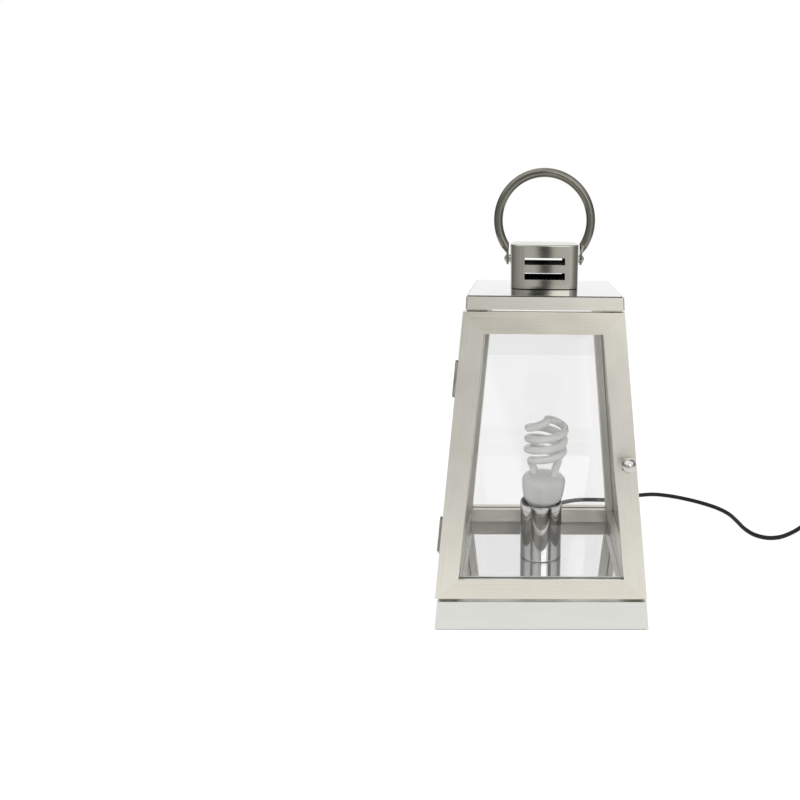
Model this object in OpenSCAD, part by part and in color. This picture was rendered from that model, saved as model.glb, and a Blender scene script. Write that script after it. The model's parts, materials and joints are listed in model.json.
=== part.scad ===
// Lantern table lamp: a tapered steel lantern with a glazed door, a ring handle, a bulb in a chrome
// lampholder on a mirror floor, and a mains lead with an in-line switch and a plug.
// Millimetres. +Z is up, the door faces -Y, and the origin is on the table under the middle of the base.

/* [Body] */
// Outer width of the walls where they stand on the deck
deck_w = 180.3; // [150:0.1:220]
// Outer width of the walls under the lid
head_w = 127.7; // [110:0.1:145]
// Height of the walls, from the deck to the lid
wall_h = 247.9; // [220:0.1:300]
// Width and depth of a corner post
post_w = 17; // [14:0.5:22]
// Height of a bottom rail above the deck
sill_h = 15; // [10:0.5:24]
// Height of a side's top rail
head_rail_h = 18.7; // [12:0.1:26]
// Height of the back's top rail
back_rail_h = 14; // [10:0.1:26]
// Sheet thickness of the posts, rails and door tubes
tube_t = 1; // [0.8:0.1:1.5]
// Thickness of every glass pane
glass_t = 3; // [2:0.1:4]
// Depth that a pane reaches into its posts and rails
glass_bite = 4; // [2:0.5:6]

/* [Base] */
// How far the skirt's bottom edge stands out past the walls
skirt_flare = 2.5; // [0:0.1:6]
// Height of the skirt
skirt_h = 24.8; // [20:0.1:40]
// Gap between the skirt's bottom edge and the table
skirt_lift = 1; // [0.5:0.1:3]
// Sheet thickness of the skirt and its deck
skirt_t = 1; // [0.8:0.1:2]
// Width of the deck's flange inside the skirt
deck_flange = 26; // [20:1:40]
// Thickness of the mirror floor
floor_t = 0.8; // [0.8:0.1:2]
// Radius of a rubber foot
foot_r = 6; // [4:0.5:10]

/* [Lid] */
// How far the lid's bottom edge stands out past the walls
lid_lap = 0.5; // [0.5:0.1:4]
// Height of the lid band
lid_h = 10.3; // [8:0.1:20]
// How much narrower each side of the lid is at the top
lid_draw = 0.7; // [0.5:0.1:3]
// Sheet thickness of the lid
lid_t = 1; // [0.8:0.1:2]
// Height of the roof's edge above the lid band
roof_edge = 0.8; // [0.4:0.1:2]
// Rise of the roof from its edge to the collar
roof_rise = 1.4; // [0.5:0.1:4]
// Width of the vent hole in the roof
vent_w = 44; // [30:1:50]
// Outer width of the collar
collar_w = 58.2; // [54:0.1:70]
// Height of the collar
collar_h = 37; // [32:0.1:50]
// Outer corner radius of the collar
collar_r = 10; // [5:0.5:14]
// Sheet thickness of the collar
collar_t = 1; // [0.8:0.1:2]
// Width of a slot in the collar
slot_w = 34.2; // [20:0.1:36]
// Height of a slot in the collar
slot_h = 5.8; // [4:0.1:7]
// Height of the lower slot's middle above the roof
slot_z = 10.9; // [8:0.1:14]
// Distance between the two slots' middles
slot_pitch = 12.4; // [9:0.1:13]

/* [Handle] */
// Radius of the ring at the middle of its rod
ring_r = 40; // [38:0.5:48]
// Radius of the ring's rod
rod_r = 3.8; // [3:0.1:5]
// Height of the ring's middle above the pivots
ring_rise = 32.3; // [28:0.1:38]
// Height of the pivots below the collar's top
pivot_drop = 13.3; // [10:0.1:16]
// Thickness of the ring's flattened ends
tab_t = 1.8; // [1.5:0.1:2.5]
// Radius of a rivet's shank
rivet_r = 1.95; // [1.5:0.05:2.5]
// Angle below level at which the rod starts to flatten
pinch_a = 32; // [28:1:36]

/* [Door] */
// Thickness of the door
door_t = 7.5; // [6.5:0.1:9]
// How far the door's front stands proud of the walls' front line
door_proud = 1.8; // [1:0.1:3]
// Gap between the door and the front posts
door_gap = 1.2; // [1:0.1:2]
// Gap between the door and the lid
door_top_gap = 1.7; // [1.4:0.1:3]
// Gap between the door and the deck
door_foot_gap = 3.7; // [2:0.1:8]
// How far the door stands out past the wall on its hinge side
door_lap_hinge = 2.1; // [1.5:0.1:3]
// How far the door stands out past the wall on its knob side
door_lap_knob = 0.2; // [0:0.1:2]
// Width of a door stile
stile_w = 18.5; // [16:0.1:24]
// Height of the door's bottom rail
door_foot_h = 17.1; // [12:0.1:24]
// Height of the door's top rail
door_head_h = 17.6; // [12:0.1:24]
// Height of the knob above the deck
knob_h = 123; // [60:1:180]
// Distance of the knob from the stile's middle, away from the glass
knob_side = 1.4; // [0:0.1:3]
// Radius of the knob's ball
knob_r = 6.4; // [5:0.1:9]
// Distance from the door's face to the middle of the ball
knob_reach = 9.5; // [8:0.1:14]

/* [Hinges] */
// Outer radius of a knuckle
knuckle_r = 1.4; // [1.3:0.05:2]
// Radius of a hinge pin
pin_r = 0.75; // [0.6:0.05:1]
// Length of a hinge
hinge_l = 28; // [24:1:40]
// Height of the lower hinge's middle above the deck
hinge_low = 57.5; // [45:0.5:80]
// Height of the upper hinge's middle above the deck
hinge_high = 190.5; // [160:0.5:205]
// Thickness of a hinge leaf
leaf_t = 0.8; // [0.6:0.1:1.1]
// Width of the leaf on the post
leaf_w = 11; // [8:0.5:14]

/* [Lampholder] */
// Outer radius of the sleeve
sleeve_r = 20; // [19:0.1:24]
// Height of the sleeve
sleeve_h = 55.7; // [52:0.1:64]
// Wall of the sleeve
sleeve_t = 1.2; // [0.8:0.1:2]
// Radius of the hollow threaded nipple
nipple_r = 5; // [4.5:0.1:6]
// Bore of the nipple
nipple_bore_r = 3.4; // [3:0.1:4]
// Inner radius of the brass screw shell
shell_r = 14; // [13.9:0.1:14.6]

/* [Bulb] */
// Greatest radius of the bulb's housing
housing_r = 20.6; // [19:0.1:24]
// Height of the housing above the cap
housing_h = 33.5; // [30:0.5:45]
// Radius of the spiral at the middle of its tube
spiral_r = 17.1; // [15:0.1:19]
// Radius of the spiral's tube
spiral_tube_r = 3.65; // [3:0.05:4]
// Height of the spiral's bridge above the housing
spiral_h = 54.4; // [40:0.1:70]
// Climb of one strand in a full turn
spiral_pitch = 20.6; // [18:0.1:24]
// Turns of each strand below the bridge
spiral_turns = 1.75; // [1.25:0.5:2.75]
// How far the last turn of each strand draws in
spiral_nip = 3; // [0:0.1:4]
// Sideways lean of the bulb in its lampholder, in degrees
bulb_lean = 2.4; // [0:0.1:3]

/* [Lead] */
// Radius of the mains lead
lead_r = 2.4; // [2.2:0.05:2.6]
// Height of the lead's exit above the table
exit_h = 12; // [9:0.5:15]
// Length of the tapered sleeve at the exit
boot_l = 22; // [20:1:40]
// Length of the in-line switch
switch_l = 58; // [50:1:70]
// Width of the in-line switch
switch_w = 22; // [20:0.5:26]
// Length of the plug's body without its pins
plug_l = 40; // [36:1:48]
// Width of the plug
plug_w = 34; // [30:1:38]
// Loops of the coil, half of them in each of its two layers
coil_loops = 6; // [4:2:8]
// Gap between neighbouring loops of the coil
coil_gap = 0.55; // [0.52:0.01:1]

/* [Hidden] */
$fn = 48;

eps = 0.01;        // keeps a cut from ending on the face that it cuts
fit = 0.3;         // clearance round a loose fit
run_fit = 0.05;    // radial clearance of a pin in its bore
reach = 400;       // longer than any part, for a cut that runs right through

// ---- finishes ----
brushed = [0.78, 0.77, 0.73];
satin = [0.85, 0.85, 0.83];
polished = [0.90, 0.90, 0.92];
steel = [0.62, 0.61, 0.57];
brass = [0.80, 0.66, 0.35];
black = [0.12, 0.12, 0.12];
white = [0.93, 0.94, 0.92];
pane = [0.80, 0.88, 0.86, 0.35];
rubber = [0.08, 0.08, 0.08];

// ---- levels ----
deck_z = skirt_lift + skirt_h;
floor_z = deck_z + floor_t;
sill_z = deck_z + sill_h;
lid_z = deck_z + wall_h;
head_z = lid_z - head_rail_h;
back_head_z = lid_z - back_rail_h;
band_z1 = lid_z + lid_h;
roof_z = band_z1 + roof_edge + roof_rise;
collar_top_z = roof_z + collar_h;
pivot_z = collar_top_z - pivot_drop;
door_z0 = deck_z + door_foot_gap;
door_z1 = lid_z - door_top_gap;
lean = (deck_w - head_w) / 2 / wall_h;
lean_a = atan(lean);

// ---- leaning walls ----
// A bound is [share of the walls' half width, offset], so that it leans with the walls.
function half(z) = deck_w / 2 - lean * (z - deck_z);
function at(bound, z) = bound[0] * half(z) + bound[1];
function left(inset) = [-1, inset];
function right(inset) = [1, -inset];
function front(inset) = [-1, inset];
function back(inset) = [1, -inset];

module lean_box(x0, x1, y0, y1, z0, z1) {
  intersection() {
    rotate([90, 0, 0]) linear_extrude(reach, center = true)
      polygon([[at(x0, z0), z0], [at(x1, z0), z0], [at(x1, z1), z1], [at(x0, z1), z1]]);
    rotate([90, 0, 90]) linear_extrude(reach, center = true)
      polygon([[at(y0, z0), z0], [at(y1, z0), z0], [at(y1, z1), z1], [at(y0, z1), z1]]);
  }
}

// A square body through [half width, height] points, from its foot up.
module hipped(points) {
  other = [for (i = [len(points) - 1:-1:0]) [-points[i][0], points[i][1]]];
  intersection_for (turn = [0, 90])
    rotate([90, 0, turn]) linear_extrude(reach, center = true) polygon(concat(points, other));
}
module frustum(half0, half1, z0, z1) hipped([[half0, z0], [half1, z1]]);

module rounded_square(w, r) {
  for (turn = [0, 90]) rotate(turn) square([w, w - 2 * r], center = true);
  for (x = [-1, 1], y = [-1, 1]) translate([x, y] * (w / 2 - r)) circle(r);
}

// ---- base ----
skirt_foot = deck_w / 2 + skirt_flare;
skirt_head = deck_w / 2;
function skirt_half(z) = skirt_foot + (skirt_head - skirt_foot) * (z - skirt_lift) / skirt_h;
cover_t = 1.2;
foot_h = skirt_lift + 0.6;
cover_half = skirt_half(foot_h + cover_t) - skirt_t - fit;
boss_at = skirt_head - 13;
boss_r = 3.5;
screw_r = 1.4;
screw_head_r = 2.8;
screw_head_t = 0.6;
screw_l = 8;
boot_neck_r = 4.2;
boot_flange_r = boot_neck_r + 1.8;
boot_seat = skirt_flare / skirt_h * boot_flange_r + 0.15;

module base_skirt() {
  floor_half = skirt_head - deck_flange;
  color(satin) difference() {
    union() {
      difference() {
        frustum(skirt_foot, skirt_head, skirt_lift, deck_z);
        frustum(skirt_foot - skirt_t, skirt_head - skirt_t - lean * skirt_t, skirt_lift - eps,
                deck_z - skirt_t);
        frustum(floor_half, floor_half, skirt_lift, deck_z + eps);
      }
      for (x = [-1, 1], y = [-1, 1])
        translate([x * boss_at, y * boss_at, foot_h + cover_t])
          cylinder(r = boss_r, h = deck_z - skirt_t - foot_h - cover_t + eps);
    }
    for (x = [-1, 1], y = [-1, 1])
      translate([x * boss_at, y * boss_at, foot_h])
        cylinder(r = screw_r + run_fit, h = screw_l + 2);
    translate([0, skirt_half(exit_h) - 3 * skirt_t, exit_h])
      rotate([-90, 0, 0]) cylinder(r = boot_neck_r + run_fit, h = 6 * skirt_t);
  }
}

module mirror_floor() {
  inner = half(floor_z) - post_w - fit;
  color(polished) translate([0, 0, deck_z]) linear_extrude(floor_t) difference() {
    translate([-inner, door_post_in - half(deck_z)])
      square([2 * inner, inner + half(deck_z) - door_post_in]);
    circle(nipple_r + fit);
  }
}

module bottom_cover() {
  color(black) translate([0, 0, foot_h]) linear_extrude(cover_t) difference() {
    square(2 * cover_half, center = true);
    for (x = [-1, 1], y = [-1, 1]) translate([x, y] * boss_at) circle(screw_r + fit);
  }
}

module base_screws() {
  color(steel) for (x = [-1, 1], y = [-1, 1]) translate([x * boss_at, y * boss_at, foot_h]) {
    translate([0, 0, -screw_head_t]) cylinder(r = screw_head_r, h = screw_head_t);
    translate([0, 0, -eps]) cylinder(r = screw_r, h = screw_l + cover_t);
  }
}

module rubber_feet() {
  color(rubber) {
    cylinder(r = foot_r, h = foot_h);
    for (x = [-1, 1], y = [-1, 1])
      translate([x, y, 0] * (boss_at - 14)) cylinder(r = foot_r, h = foot_h);
  }
}

// ---- walls ----
slot_half = glass_t / 2 + fit;
door_post_in = door_t - door_proud + door_gap;
front_depth = door_post_in + post_w;
pane_in = post_w / 2;
pane_edge = post_w - glass_bite;

// The slot that a pane's edge runs in, along the pane's own wall.
module pane_slot(wall, z0, z1) {
  if (wall == "left")
    lean_box(left(pane_in - slot_half), left(pane_in + slot_half), front(front_depth - glass_bite - fit),
             back(pane_edge - fit), z0, z1);
  if (wall == "right") mirror([1, 0, 0]) pane_slot("left", z0, z1);
  if (wall == "back")
    lean_box(left(pane_edge - fit), right(pane_edge - fit), back(pane_in + slot_half),
             back(pane_in - slot_half), z0, z1);
}

module tube_post(side, y0, y1) {
  color(brushed) mirror([side < 0 ? 0 : 1, 0, 0]) difference() {
    lean_box(left(0), left(post_w), y0, y1, deck_z, lid_z);
    lean_box(left(tube_t), left(post_w - tube_t), y0 + [0, tube_t], y1 - [0, tube_t],
             deck_z - eps, lid_z + eps);
    pane_slot("left", sill_z - glass_bite - fit, lid_z + 1);
    if (y1[0] > 0) pane_slot("back", sill_z - glass_bite - fit, lid_z + 1);
    if (side > 0 && y1[0] < 0) mirror([1, 0, 0]) catch_bore();
  }
}

module post_front_left() tube_post(-1, front(door_post_in), front(front_depth));
module post_front_right() tube_post(1, front(door_post_in), front(front_depth));
module post_back_left() tube_post(-1, back(post_w), back(0));
module post_back_right() tube_post(1, back(post_w), back(0));

module side_rail(side, z0, z1) {
  color(brushed) mirror([side < 0 ? 0 : 1, 0, 0]) difference() {
    lean_box(left(0), left(post_w), front(front_depth), back(post_w), z0, z1);
    lean_box(left(tube_t), left(post_w - tube_t), front(0), back(0), z0 + tube_t, z1 - tube_t);
    pane_slot("left", sill_z - glass_bite - fit, head_z + glass_bite + fit);
  }
}

module back_rail(z0, z1, slot_z1) {
  color(brushed) difference() {
    lean_box(left(post_w), right(post_w), back(post_w), back(0), z0, z1);
    lean_box(left(0), right(0), back(post_w - tube_t), back(tube_t), z0 + tube_t, z1 - tube_t);
    pane_slot("back", sill_z - glass_bite - fit, slot_z1);
  }
}

module bottom_rail_left() side_rail(-1, deck_z, sill_z);
module bottom_rail_right() side_rail(1, deck_z, sill_z);
module bottom_rail_back() back_rail(deck_z, sill_z, sill_z + 1);
module top_rail_left() side_rail(-1, head_z, lid_z);
module top_rail_right() side_rail(1, head_z, lid_z);
module top_rail_back() back_rail(back_head_z, lid_z, back_head_z + glass_bite + fit);

module side_pane(side) {
  color(pane) mirror([side < 0 ? 0 : 1, 0, 0])
    lean_box(left(pane_in - glass_t / 2), left(pane_in + glass_t / 2), front(front_depth - glass_bite),
             back(pane_edge), sill_z - glass_bite, head_z + glass_bite);
}

module glass_left() side_pane(-1);
module glass_right() side_pane(1);
module glass_back() {
  color(pane) lean_box(left(pane_edge), right(pane_edge), back(pane_in + glass_t / 2),
                       back(pane_in - glass_t / 2), sill_z - glass_bite, back_head_z + glass_bite);
}

// ---- lid ----
lid_foot = half(lid_z) + lid_lap;
lid_head = lid_foot - lid_draw;
lid_flange = post_w + 2;
tray_half = lid_head - lid_t - fit;

module lid_band() {
  inner = lid_foot - lid_flange;
  color(brushed) difference() {
    frustum(lid_foot, lid_head, lid_z, band_z1);
    frustum(lid_foot - lid_t, lid_head - lid_t, lid_z + lid_t, band_z1 + eps);
    frustum(inner, inner, lid_z - eps, band_z1);
  }
}

module roof_plate() {
  foot = tray_half + lid_draw * (lid_h - lid_t) / lid_h;
  edge_z = band_z1 + roof_edge;
  flat = collar_w / 2 + 1;
  color(polished) difference() {
    hipped([[foot, lid_z + lid_t], [tray_half, band_z1], [tray_half, edge_z], [flat, roof_z]]);
    hipped([[foot - lid_t, lid_z], [tray_half - lid_t, band_z1], [tray_half - lid_t, edge_z - lid_t],
            [flat, roof_z - lid_t]]);
    linear_extrude(reach) rounded_square(vent_w, 4);
  }
}

module collar() {
  bore_r = rivet_r + run_fit;
  color(polished) difference() {
    translate([0, 0, roof_z]) linear_extrude(collar_h) rounded_square(collar_w, collar_r);
    translate([0, 0, roof_z - eps]) linear_extrude(collar_h - collar_t)
      rounded_square(collar_w - 2 * collar_t, collar_r - collar_t);
    for (i = [0, 1])
      translate([0, 0, roof_z + slot_z + i * slot_pitch]) cube([slot_w, 2 * collar_w, slot_h], center = true);
    translate([0, 0, pivot_z]) rotate([0, 90, 0]) cylinder(r = bore_r, h = 2 * collar_w, center = true);
  }
}

// ---- handle ----
shoulder_l = 1.9;
shoulder_r = 3.4;
head_gap = 0.1;
tab_x = collar_w / 2 + shoulder_l + head_gap;
tab_half_w = 5.2;
tab_rise = 6;
tail_l = 1.2;

module handle_rivets() {
  color(steel) for (side = [0, 180]) rotate([0, 0, side]) translate([0, 0, pivot_z]) rotate([0, 90, 0]) {
    translate([0, 0, collar_w / 2 - collar_t - tail_l]) cylinder(r = 3, h = tail_l);
    translate([0, 0, collar_w / 2 - collar_t - eps])
      cylinder(r = rivet_r, h = collar_t + shoulder_l + tab_t + 2 * head_gap + 1);
    translate([0, 0, collar_w / 2]) cylinder(r = shoulder_r, h = shoulder_l);
    translate([0, 0, tab_x + tab_t + head_gap]) intersection() {
      translate([0, 0, -2]) sphere(r = 4);
      cylinder(r = 5, h = 3);
    }
  }
}

module tab_end() {
  rotate([0, 90, 0]) linear_extrude(tab_t) difference() {
    union() {
      circle(tab_half_w);
      translate([-tab_rise, -tab_half_w]) square([tab_rise, 2 * tab_half_w]);
    }
    circle(rivet_r + run_fit);
  }
}

module handle_ring() {
  ring_z = pivot_z + ring_rise;
  color(steel) {
    translate([0, 0, ring_z]) rotate([90, 0, 0]) rotate([0, 0, -pinch_a])
      rotate_extrude(angle = 180 + 2 * pinch_a) translate([ring_r, 0]) circle(rod_r);
    for (side = [0, 1]) mirror([side, 0, 0]) {
      translate([tab_x, 0, pivot_z]) tab_end();
      hull() {
        translate([tab_x, -tab_half_w, pivot_z + tab_rise - 1]) cube([tab_t, 2 * tab_half_w, 1]);
        translate([0, 0, ring_z]) rotate([0, pinch_a, 0]) translate([ring_r, 0, 0])
          cylinder(r = rod_r - 0.06, h = 0.8, $fn = 32);
      }
    }
  }
}

// ---- door ----
door_left = left(-door_lap_hinge);
door_right = right(-door_lap_knob);
door_front = front(-door_proud);
door_back = front(door_t - door_proud);
pane_lip = 0.5; // what the slot leaves of the frame behind the pane
pane_front = door_t - door_proud - tube_t - pane_lip - 0.1 - glass_t;
door_pane = [front(pane_front), front(pane_front + glass_t)];
door_slot = [front(pane_front - fit + 0.1), front(pane_front + glass_t + 0.1)];

// The ends of the four mitres, seen from the front: outside, a little in from the door's corner, so
// that a stile keeps a narrow square end, and inside, at the corner of the window.
mitre_land = 0.6;
function corner(side, level, inset) = let (
    z = level < 0 ? door_z0 + (inset ? door_foot_h : 0) : door_z1 - (inset ? door_head_h : 0),
    d = inset ? stile_w : mitre_land,
    edge = side < 0 ? door_left + [0, d] : door_right - [0, d]
  ) [at(edge, z), z];
// A point on a corner's mitre, share 0 at the outside and 1 at the window.
function mitre(side, level, share) =
  corner(side, level, false) + share * (corner(side, level, true) - corner(side, level, false));

// Keeps what lies between the mitres of two corners.
module between(corner_a, corner_b) {
  intersection() {
    children();
    rotate([90, 0, 0]) linear_extrude(reach, center = true) polygon([
      mitre(corner_a[0], corner_a[1], -0.2), mitre(corner_a[0], corner_a[1], 1.3),
      mitre(corner_b[0], corner_b[1], 1.3), mitre(corner_b[0], corner_b[1], -0.2)
    ]);
  }
}

// The slot that takes the pane. It runs on past the mitres, along x in the rails and along z in the
// stiles, so that it is open at a mitre and doesn't end beside it.
module door_slots(along_x, along_z) {
  inner = stile_w - glass_bite - fit - along_x;
  bite = glass_bite + fit + along_z;
  lean_box(door_left + [0, inner], door_right - [0, inner], door_slot[0], door_slot[1],
           door_z0 + door_foot_h - bite, door_z1 - door_head_h + bite);
}

module stile(x0, x1) {
  difference() {
    lean_box(x0, x1, door_front, door_back, door_z0, door_z1);
    lean_box(x0 + [0, tube_t], x1 - [0, tube_t], door_front + [0, tube_t], door_back - [0, tube_t],
             door_z0 - 1, door_z1 + 1);
    door_slots(0, 4);
  }
}

module door_stile_left() {
  color(brushed) between([-1, -1], [-1, 1]) stile(door_left, door_left + [0, stile_w]);
}

module door_stile_right() {
  color(brushed) difference() {
    between([1, -1], [1, 1]) stile(door_right - [0, stile_w], door_right);
    at_knob() translate([0, 0, -door_t - 1]) cylinder(r = knob_screw_r + run_fit, h = door_t + 2);
  }
}

module door_bar(level, z0, z1) {
  color(brushed) between([-1, level], [1, level]) difference() {
    lean_box(door_left, door_right, door_front, door_back, z0, z1);
    lean_box(door_left - [0, 5], door_right + [0, 5], door_front + [0, tube_t], door_back - [0, tube_t],
             z0 + tube_t, z1 - tube_t);
    door_slots(4, 0);
  }
}

module door_rail_bottom() door_bar(-1, door_z0, door_z0 + door_foot_h);
module door_rail_top() door_bar(1, door_z1 - door_head_h, door_z1);

module door_glass() {
  inner = stile_w - glass_bite;
  color(pane) lean_box(door_left + [0, inner], door_right - [0, inner], door_pane[0], door_pane[1],
                       door_z0 + door_foot_h - glass_bite, door_z1 - door_head_h + glass_bite);
}

// ---- knob and catch ----
knob_screw_r = 1.5;
neck_r = 2.6;
catch_r = 5;
catch_flange_r = 6.5;
catch_flange_t = 0.4;
catch_l = 7;
strike_t = 0.5;
catch_drop = 30;

// Places its children on a plane that leans with the front wall, with +Z along the outward normal.
module on_front(inset, x, z) {
  translate([x, at(front(inset), z), z]) rotate([90 - lean_a, 0, 0]) children();
}
module at_knob() {
  z = deck_z + knob_h;
  on_front(-door_proud, at(door_right, z) - stile_w / 2 + knob_side, z) children();
}
module at_catch(inset) {
  z = deck_z + knob_h + catch_drop;
  on_front(inset, at(right(post_w / 2), z), z) children();
}

module door_knob() {
  color(polished) at_knob() difference() {
    union() {
      cylinder(r = neck_r, h = knob_reach);
      cylinder(r = neck_r + 1.4, h = 0.8);
      translate([0, 0, knob_reach]) sphere(r = knob_r);
    }
    translate([0, 0, -eps]) cylinder(r = knob_screw_r + run_fit, h = knob_reach);
  }
}

module knob_screw() {
  head_t = 0.7;
  color(steel) at_knob() translate([0, 0, -door_t]) {
    translate([0, 0, -head_t]) cylinder(r = 3, h = head_t);
    translate([0, 0, -eps]) cylinder(r = knob_screw_r, h = door_t + knob_reach - 1);
  }
}

module catch_bore() at_catch(door_post_in) translate([0, 0, -2]) cylinder(r = catch_r + run_fit, h = 4);

module magnet_catch() {
  color(black) at_catch(door_post_in) {
    cylinder(r = catch_flange_r, h = catch_flange_t);
    translate([0, 0, -catch_l]) cylinder(r = catch_r, h = catch_l + eps);
  }
}

module door_strike() {
  color(steel) at_catch(door_t - door_proud) translate([0, 0, -strike_t])
    cylinder(r = catch_r, h = strike_t);
}

// ---- hinges ----
// The pins lie along the door's leaning edge, in the gap between the door and the post.
pin_in = door_t - door_proud + door_gap / 2;
pin_out = door_lap_hinge + knuckle_r;
pin_tilt = atan(lean * sqrt(2));
knuckle_gap = 0.3;
knuckle_l = hinge_l / 3;

module on_pin(h) {
  z = deck_z + h;
  translate([at(left(-pin_out), z), at(front(pin_in), z), z]) rotate([0, pin_tilt, 45]) children();
}
module knuckle(h, from, to) {
  on_pin(h) translate([0, 0, from]) difference() {
    cylinder(r = knuckle_r, h = to - from);
    translate([0, 0, -1]) cylinder(r = pin_r + run_fit, h = to - from + 2);
  }
}
module clear_of_pin(h) {
  difference() {
    children();
    on_pin(h) cylinder(r = pin_r + run_fit, h = 2 * hinge_l, center = true);
  }
}

module hinge_body_leaves() {
  color(steel) for (h = [hinge_low, hinge_high]) {
    z0 = deck_z + h - hinge_l / 2;
    z1 = z0 + hinge_l;
    k0 = deck_z + h - knuckle_l / 2;
    knuckle(h, -knuckle_l / 2, knuckle_l / 2);
    lean_box(left(-leaf_t), left(0), front(door_post_in), front(door_post_in + leaf_w), z0, z1);
    clear_of_pin(h)
      lean_box(left(-pin_out), left(-eps), front(pin_in + knuckle_r - leaf_t), front(pin_in + knuckle_r),
               k0, k0 + knuckle_l);
  }
}

module hinge_door_leaves() {
  color(steel) for (h = [hinge_low, hinge_high]) {
    z0 = deck_z + h - hinge_l / 2;
    for (end = [-1, 1]) {
      mid = end * knuckle_l;
      k = knuckle_l / 2 - (end > 0 ? 0 : knuckle_gap);
      m = knuckle_l / 2 - (end < 0 ? 0 : knuckle_gap);
      knuckle(h, mid - m, mid + k);
      clear_of_pin(h)
        lean_box(door_left - [0, leaf_t], door_left, front(-door_proud + 1), front(pin_in),
                 deck_z + h + mid - m, deck_z + h + mid + k);
    }
    lean_box(door_left - [0, leaf_t], door_left, front(-door_proud + 1), front(pin_in - knuckle_r - fit),
             z0, z0 + hinge_l);
  }
}

module hinge_pins() {
  head_gap = 0.9;
  color(steel) for (h = [hinge_low, hinge_high]) on_pin(h) {
    cylinder(r = pin_r, h = hinge_l + 2 * head_gap, center = true);
    for (end = [-1, 1]) translate([0, 0, end * (hinge_l / 2 + head_gap)])
      cylinder(r = knuckle_r, h = 0.8, center = true);
  }
}

// ---- lampholder ----
sleeve_z1 = floor_z + sleeve_h;
insert_r = sleeve_r - sleeve_t - fit;
insert_z1 = sleeve_z1 - 0.8;
shell_t = 0.5;
shell_z0 = floor_z + 19.7;
shell_z1 = sleeve_z1 - 9.3;
mouth_r = 17.3;
contact_z = shell_z0 + 2;
nut_t = 3;

module lampholder_sleeve() {
  color(polished) translate([0, 0, floor_z]) rotate_extrude(convexity = 4) {
    translate([nipple_r + run_fit, 0]) square([sleeve_r - nipple_r - run_fit - 1, sleeve_t]);
    translate([sleeve_r - sleeve_t, 0]) square([sleeve_t, sleeve_h]);
  }
}

module lampholder_insert() {
  z0 = floor_z + sleeve_t + 6;
  color(black) difference() {
    translate([0, 0, z0]) cylinder(r = insert_r, h = insert_z1 - z0);
    translate([0, 0, shell_z0]) cylinder(r = shell_r + shell_t + run_fit, h = reach);
    translate([0, 0, shell_z1 + fit]) cylinder(r = mouth_r, h = reach);
    translate([0, 0, z0 - eps]) cylinder(r = nipple_r + run_fit, h = 9);
    translate([0, 0, z0]) cylinder(r = 2, h = reach);
  }
}

module screw_shell() {
  color(brass) translate([0, 0, shell_z0]) difference() {
    cylinder(r = shell_r + shell_t, h = shell_z1 - shell_z0);
    translate([0, 0, shell_t]) cylinder(r = shell_r, h = reach);
    translate([0, 0, -eps]) cylinder(r = 6, h = 1);
  }
}

module lampholder_contacts() {
  color(brass) {
    translate([-3, -5, shell_z0]) cube([6, 2.4, 2]);
    translate([-3, -5, contact_z - eps]) cube([6, 10, 0.6]);
  }
}

module threaded_nipple() {
  bottom = deck_z - nut_t - 3;
  color(steel) translate([0, 0, bottom]) difference() {
    cylinder(r = nipple_r, h = floor_z + sleeve_t + 13 - bottom);
    translate([0, 0, -1]) cylinder(r = nipple_bore_r, h = reach);
  }
}

module nipple_nut() {
  plate_t = floor_z - deck_z;
  color(steel) translate([0, 0, floor_z - plate_t - nut_t]) difference() {
    cylinder(r = 9, h = nut_t, $fn = 6);
    translate([0, 0, -1]) cylinder(r = nipple_r + run_fit, h = nut_t + 2);
  }
}

// ---- bulb ----
cap_r = 12.9;
cap_h = 24;
cap_z = contact_z + 0.6 + 2 + fit;
housing_z = cap_z + cap_h;
spiral_top = housing_z + housing_h + spiral_h;
spiral_foot = housing_z + housing_h;
leg_r = 9.8;
leg_turn = 40;
leg_start = spiral_turns - 1 / 12;
bridge_drop = 3.7;

module leaned() {
  translate([0, 0, cap_z]) rotate([0, bulb_lean, 0]) translate([0, 0, -cap_z]) children();
}

module bulb_contact() {
  color(steel) leaned() translate([0, 0, cap_z - 2]) {
    cylinder(r1 = 3, r2 = 4.6, h = 2 - eps);
  }
}

module bulb_cap() {
  color(satin) leaned() translate([0, 0, cap_z]) rotate_extrude() polygon(concat(
    [[0, 0], [7, 0], [cap_r - 0.8, 3.4]],
    [for (i = [0:5]) each [[cap_r, 4.6 + i * 3], [cap_r - 0.7, 6.1 + i * 3]]],
    [[cap_r, cap_h], [0, cap_h]]));
}

module bulb_housing() {
  r = housing_r;
  h = housing_h;
  color(white) leaned() translate([0, 0, housing_z]) rotate_extrude() polygon([
    [0, 0], [12.6, 0], [13.2, 3], [14, 5], [r - 5, 7.1], [r - 3.9, 9.8], [r - 2.4, 13.8],
    [r - 1.1, 18.3], [r - 0.3, 22.8], [r, h - 5.7], [r - 0.6, h - 3.2], [r - 2, h - 1.3],
    [r - 4.2, h - 0.3], [r - 7, h], [0, h]
  ]);
}

function ease(t) = (1 - cos(180 * max(0, min(1, t)))) / 2;
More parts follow.
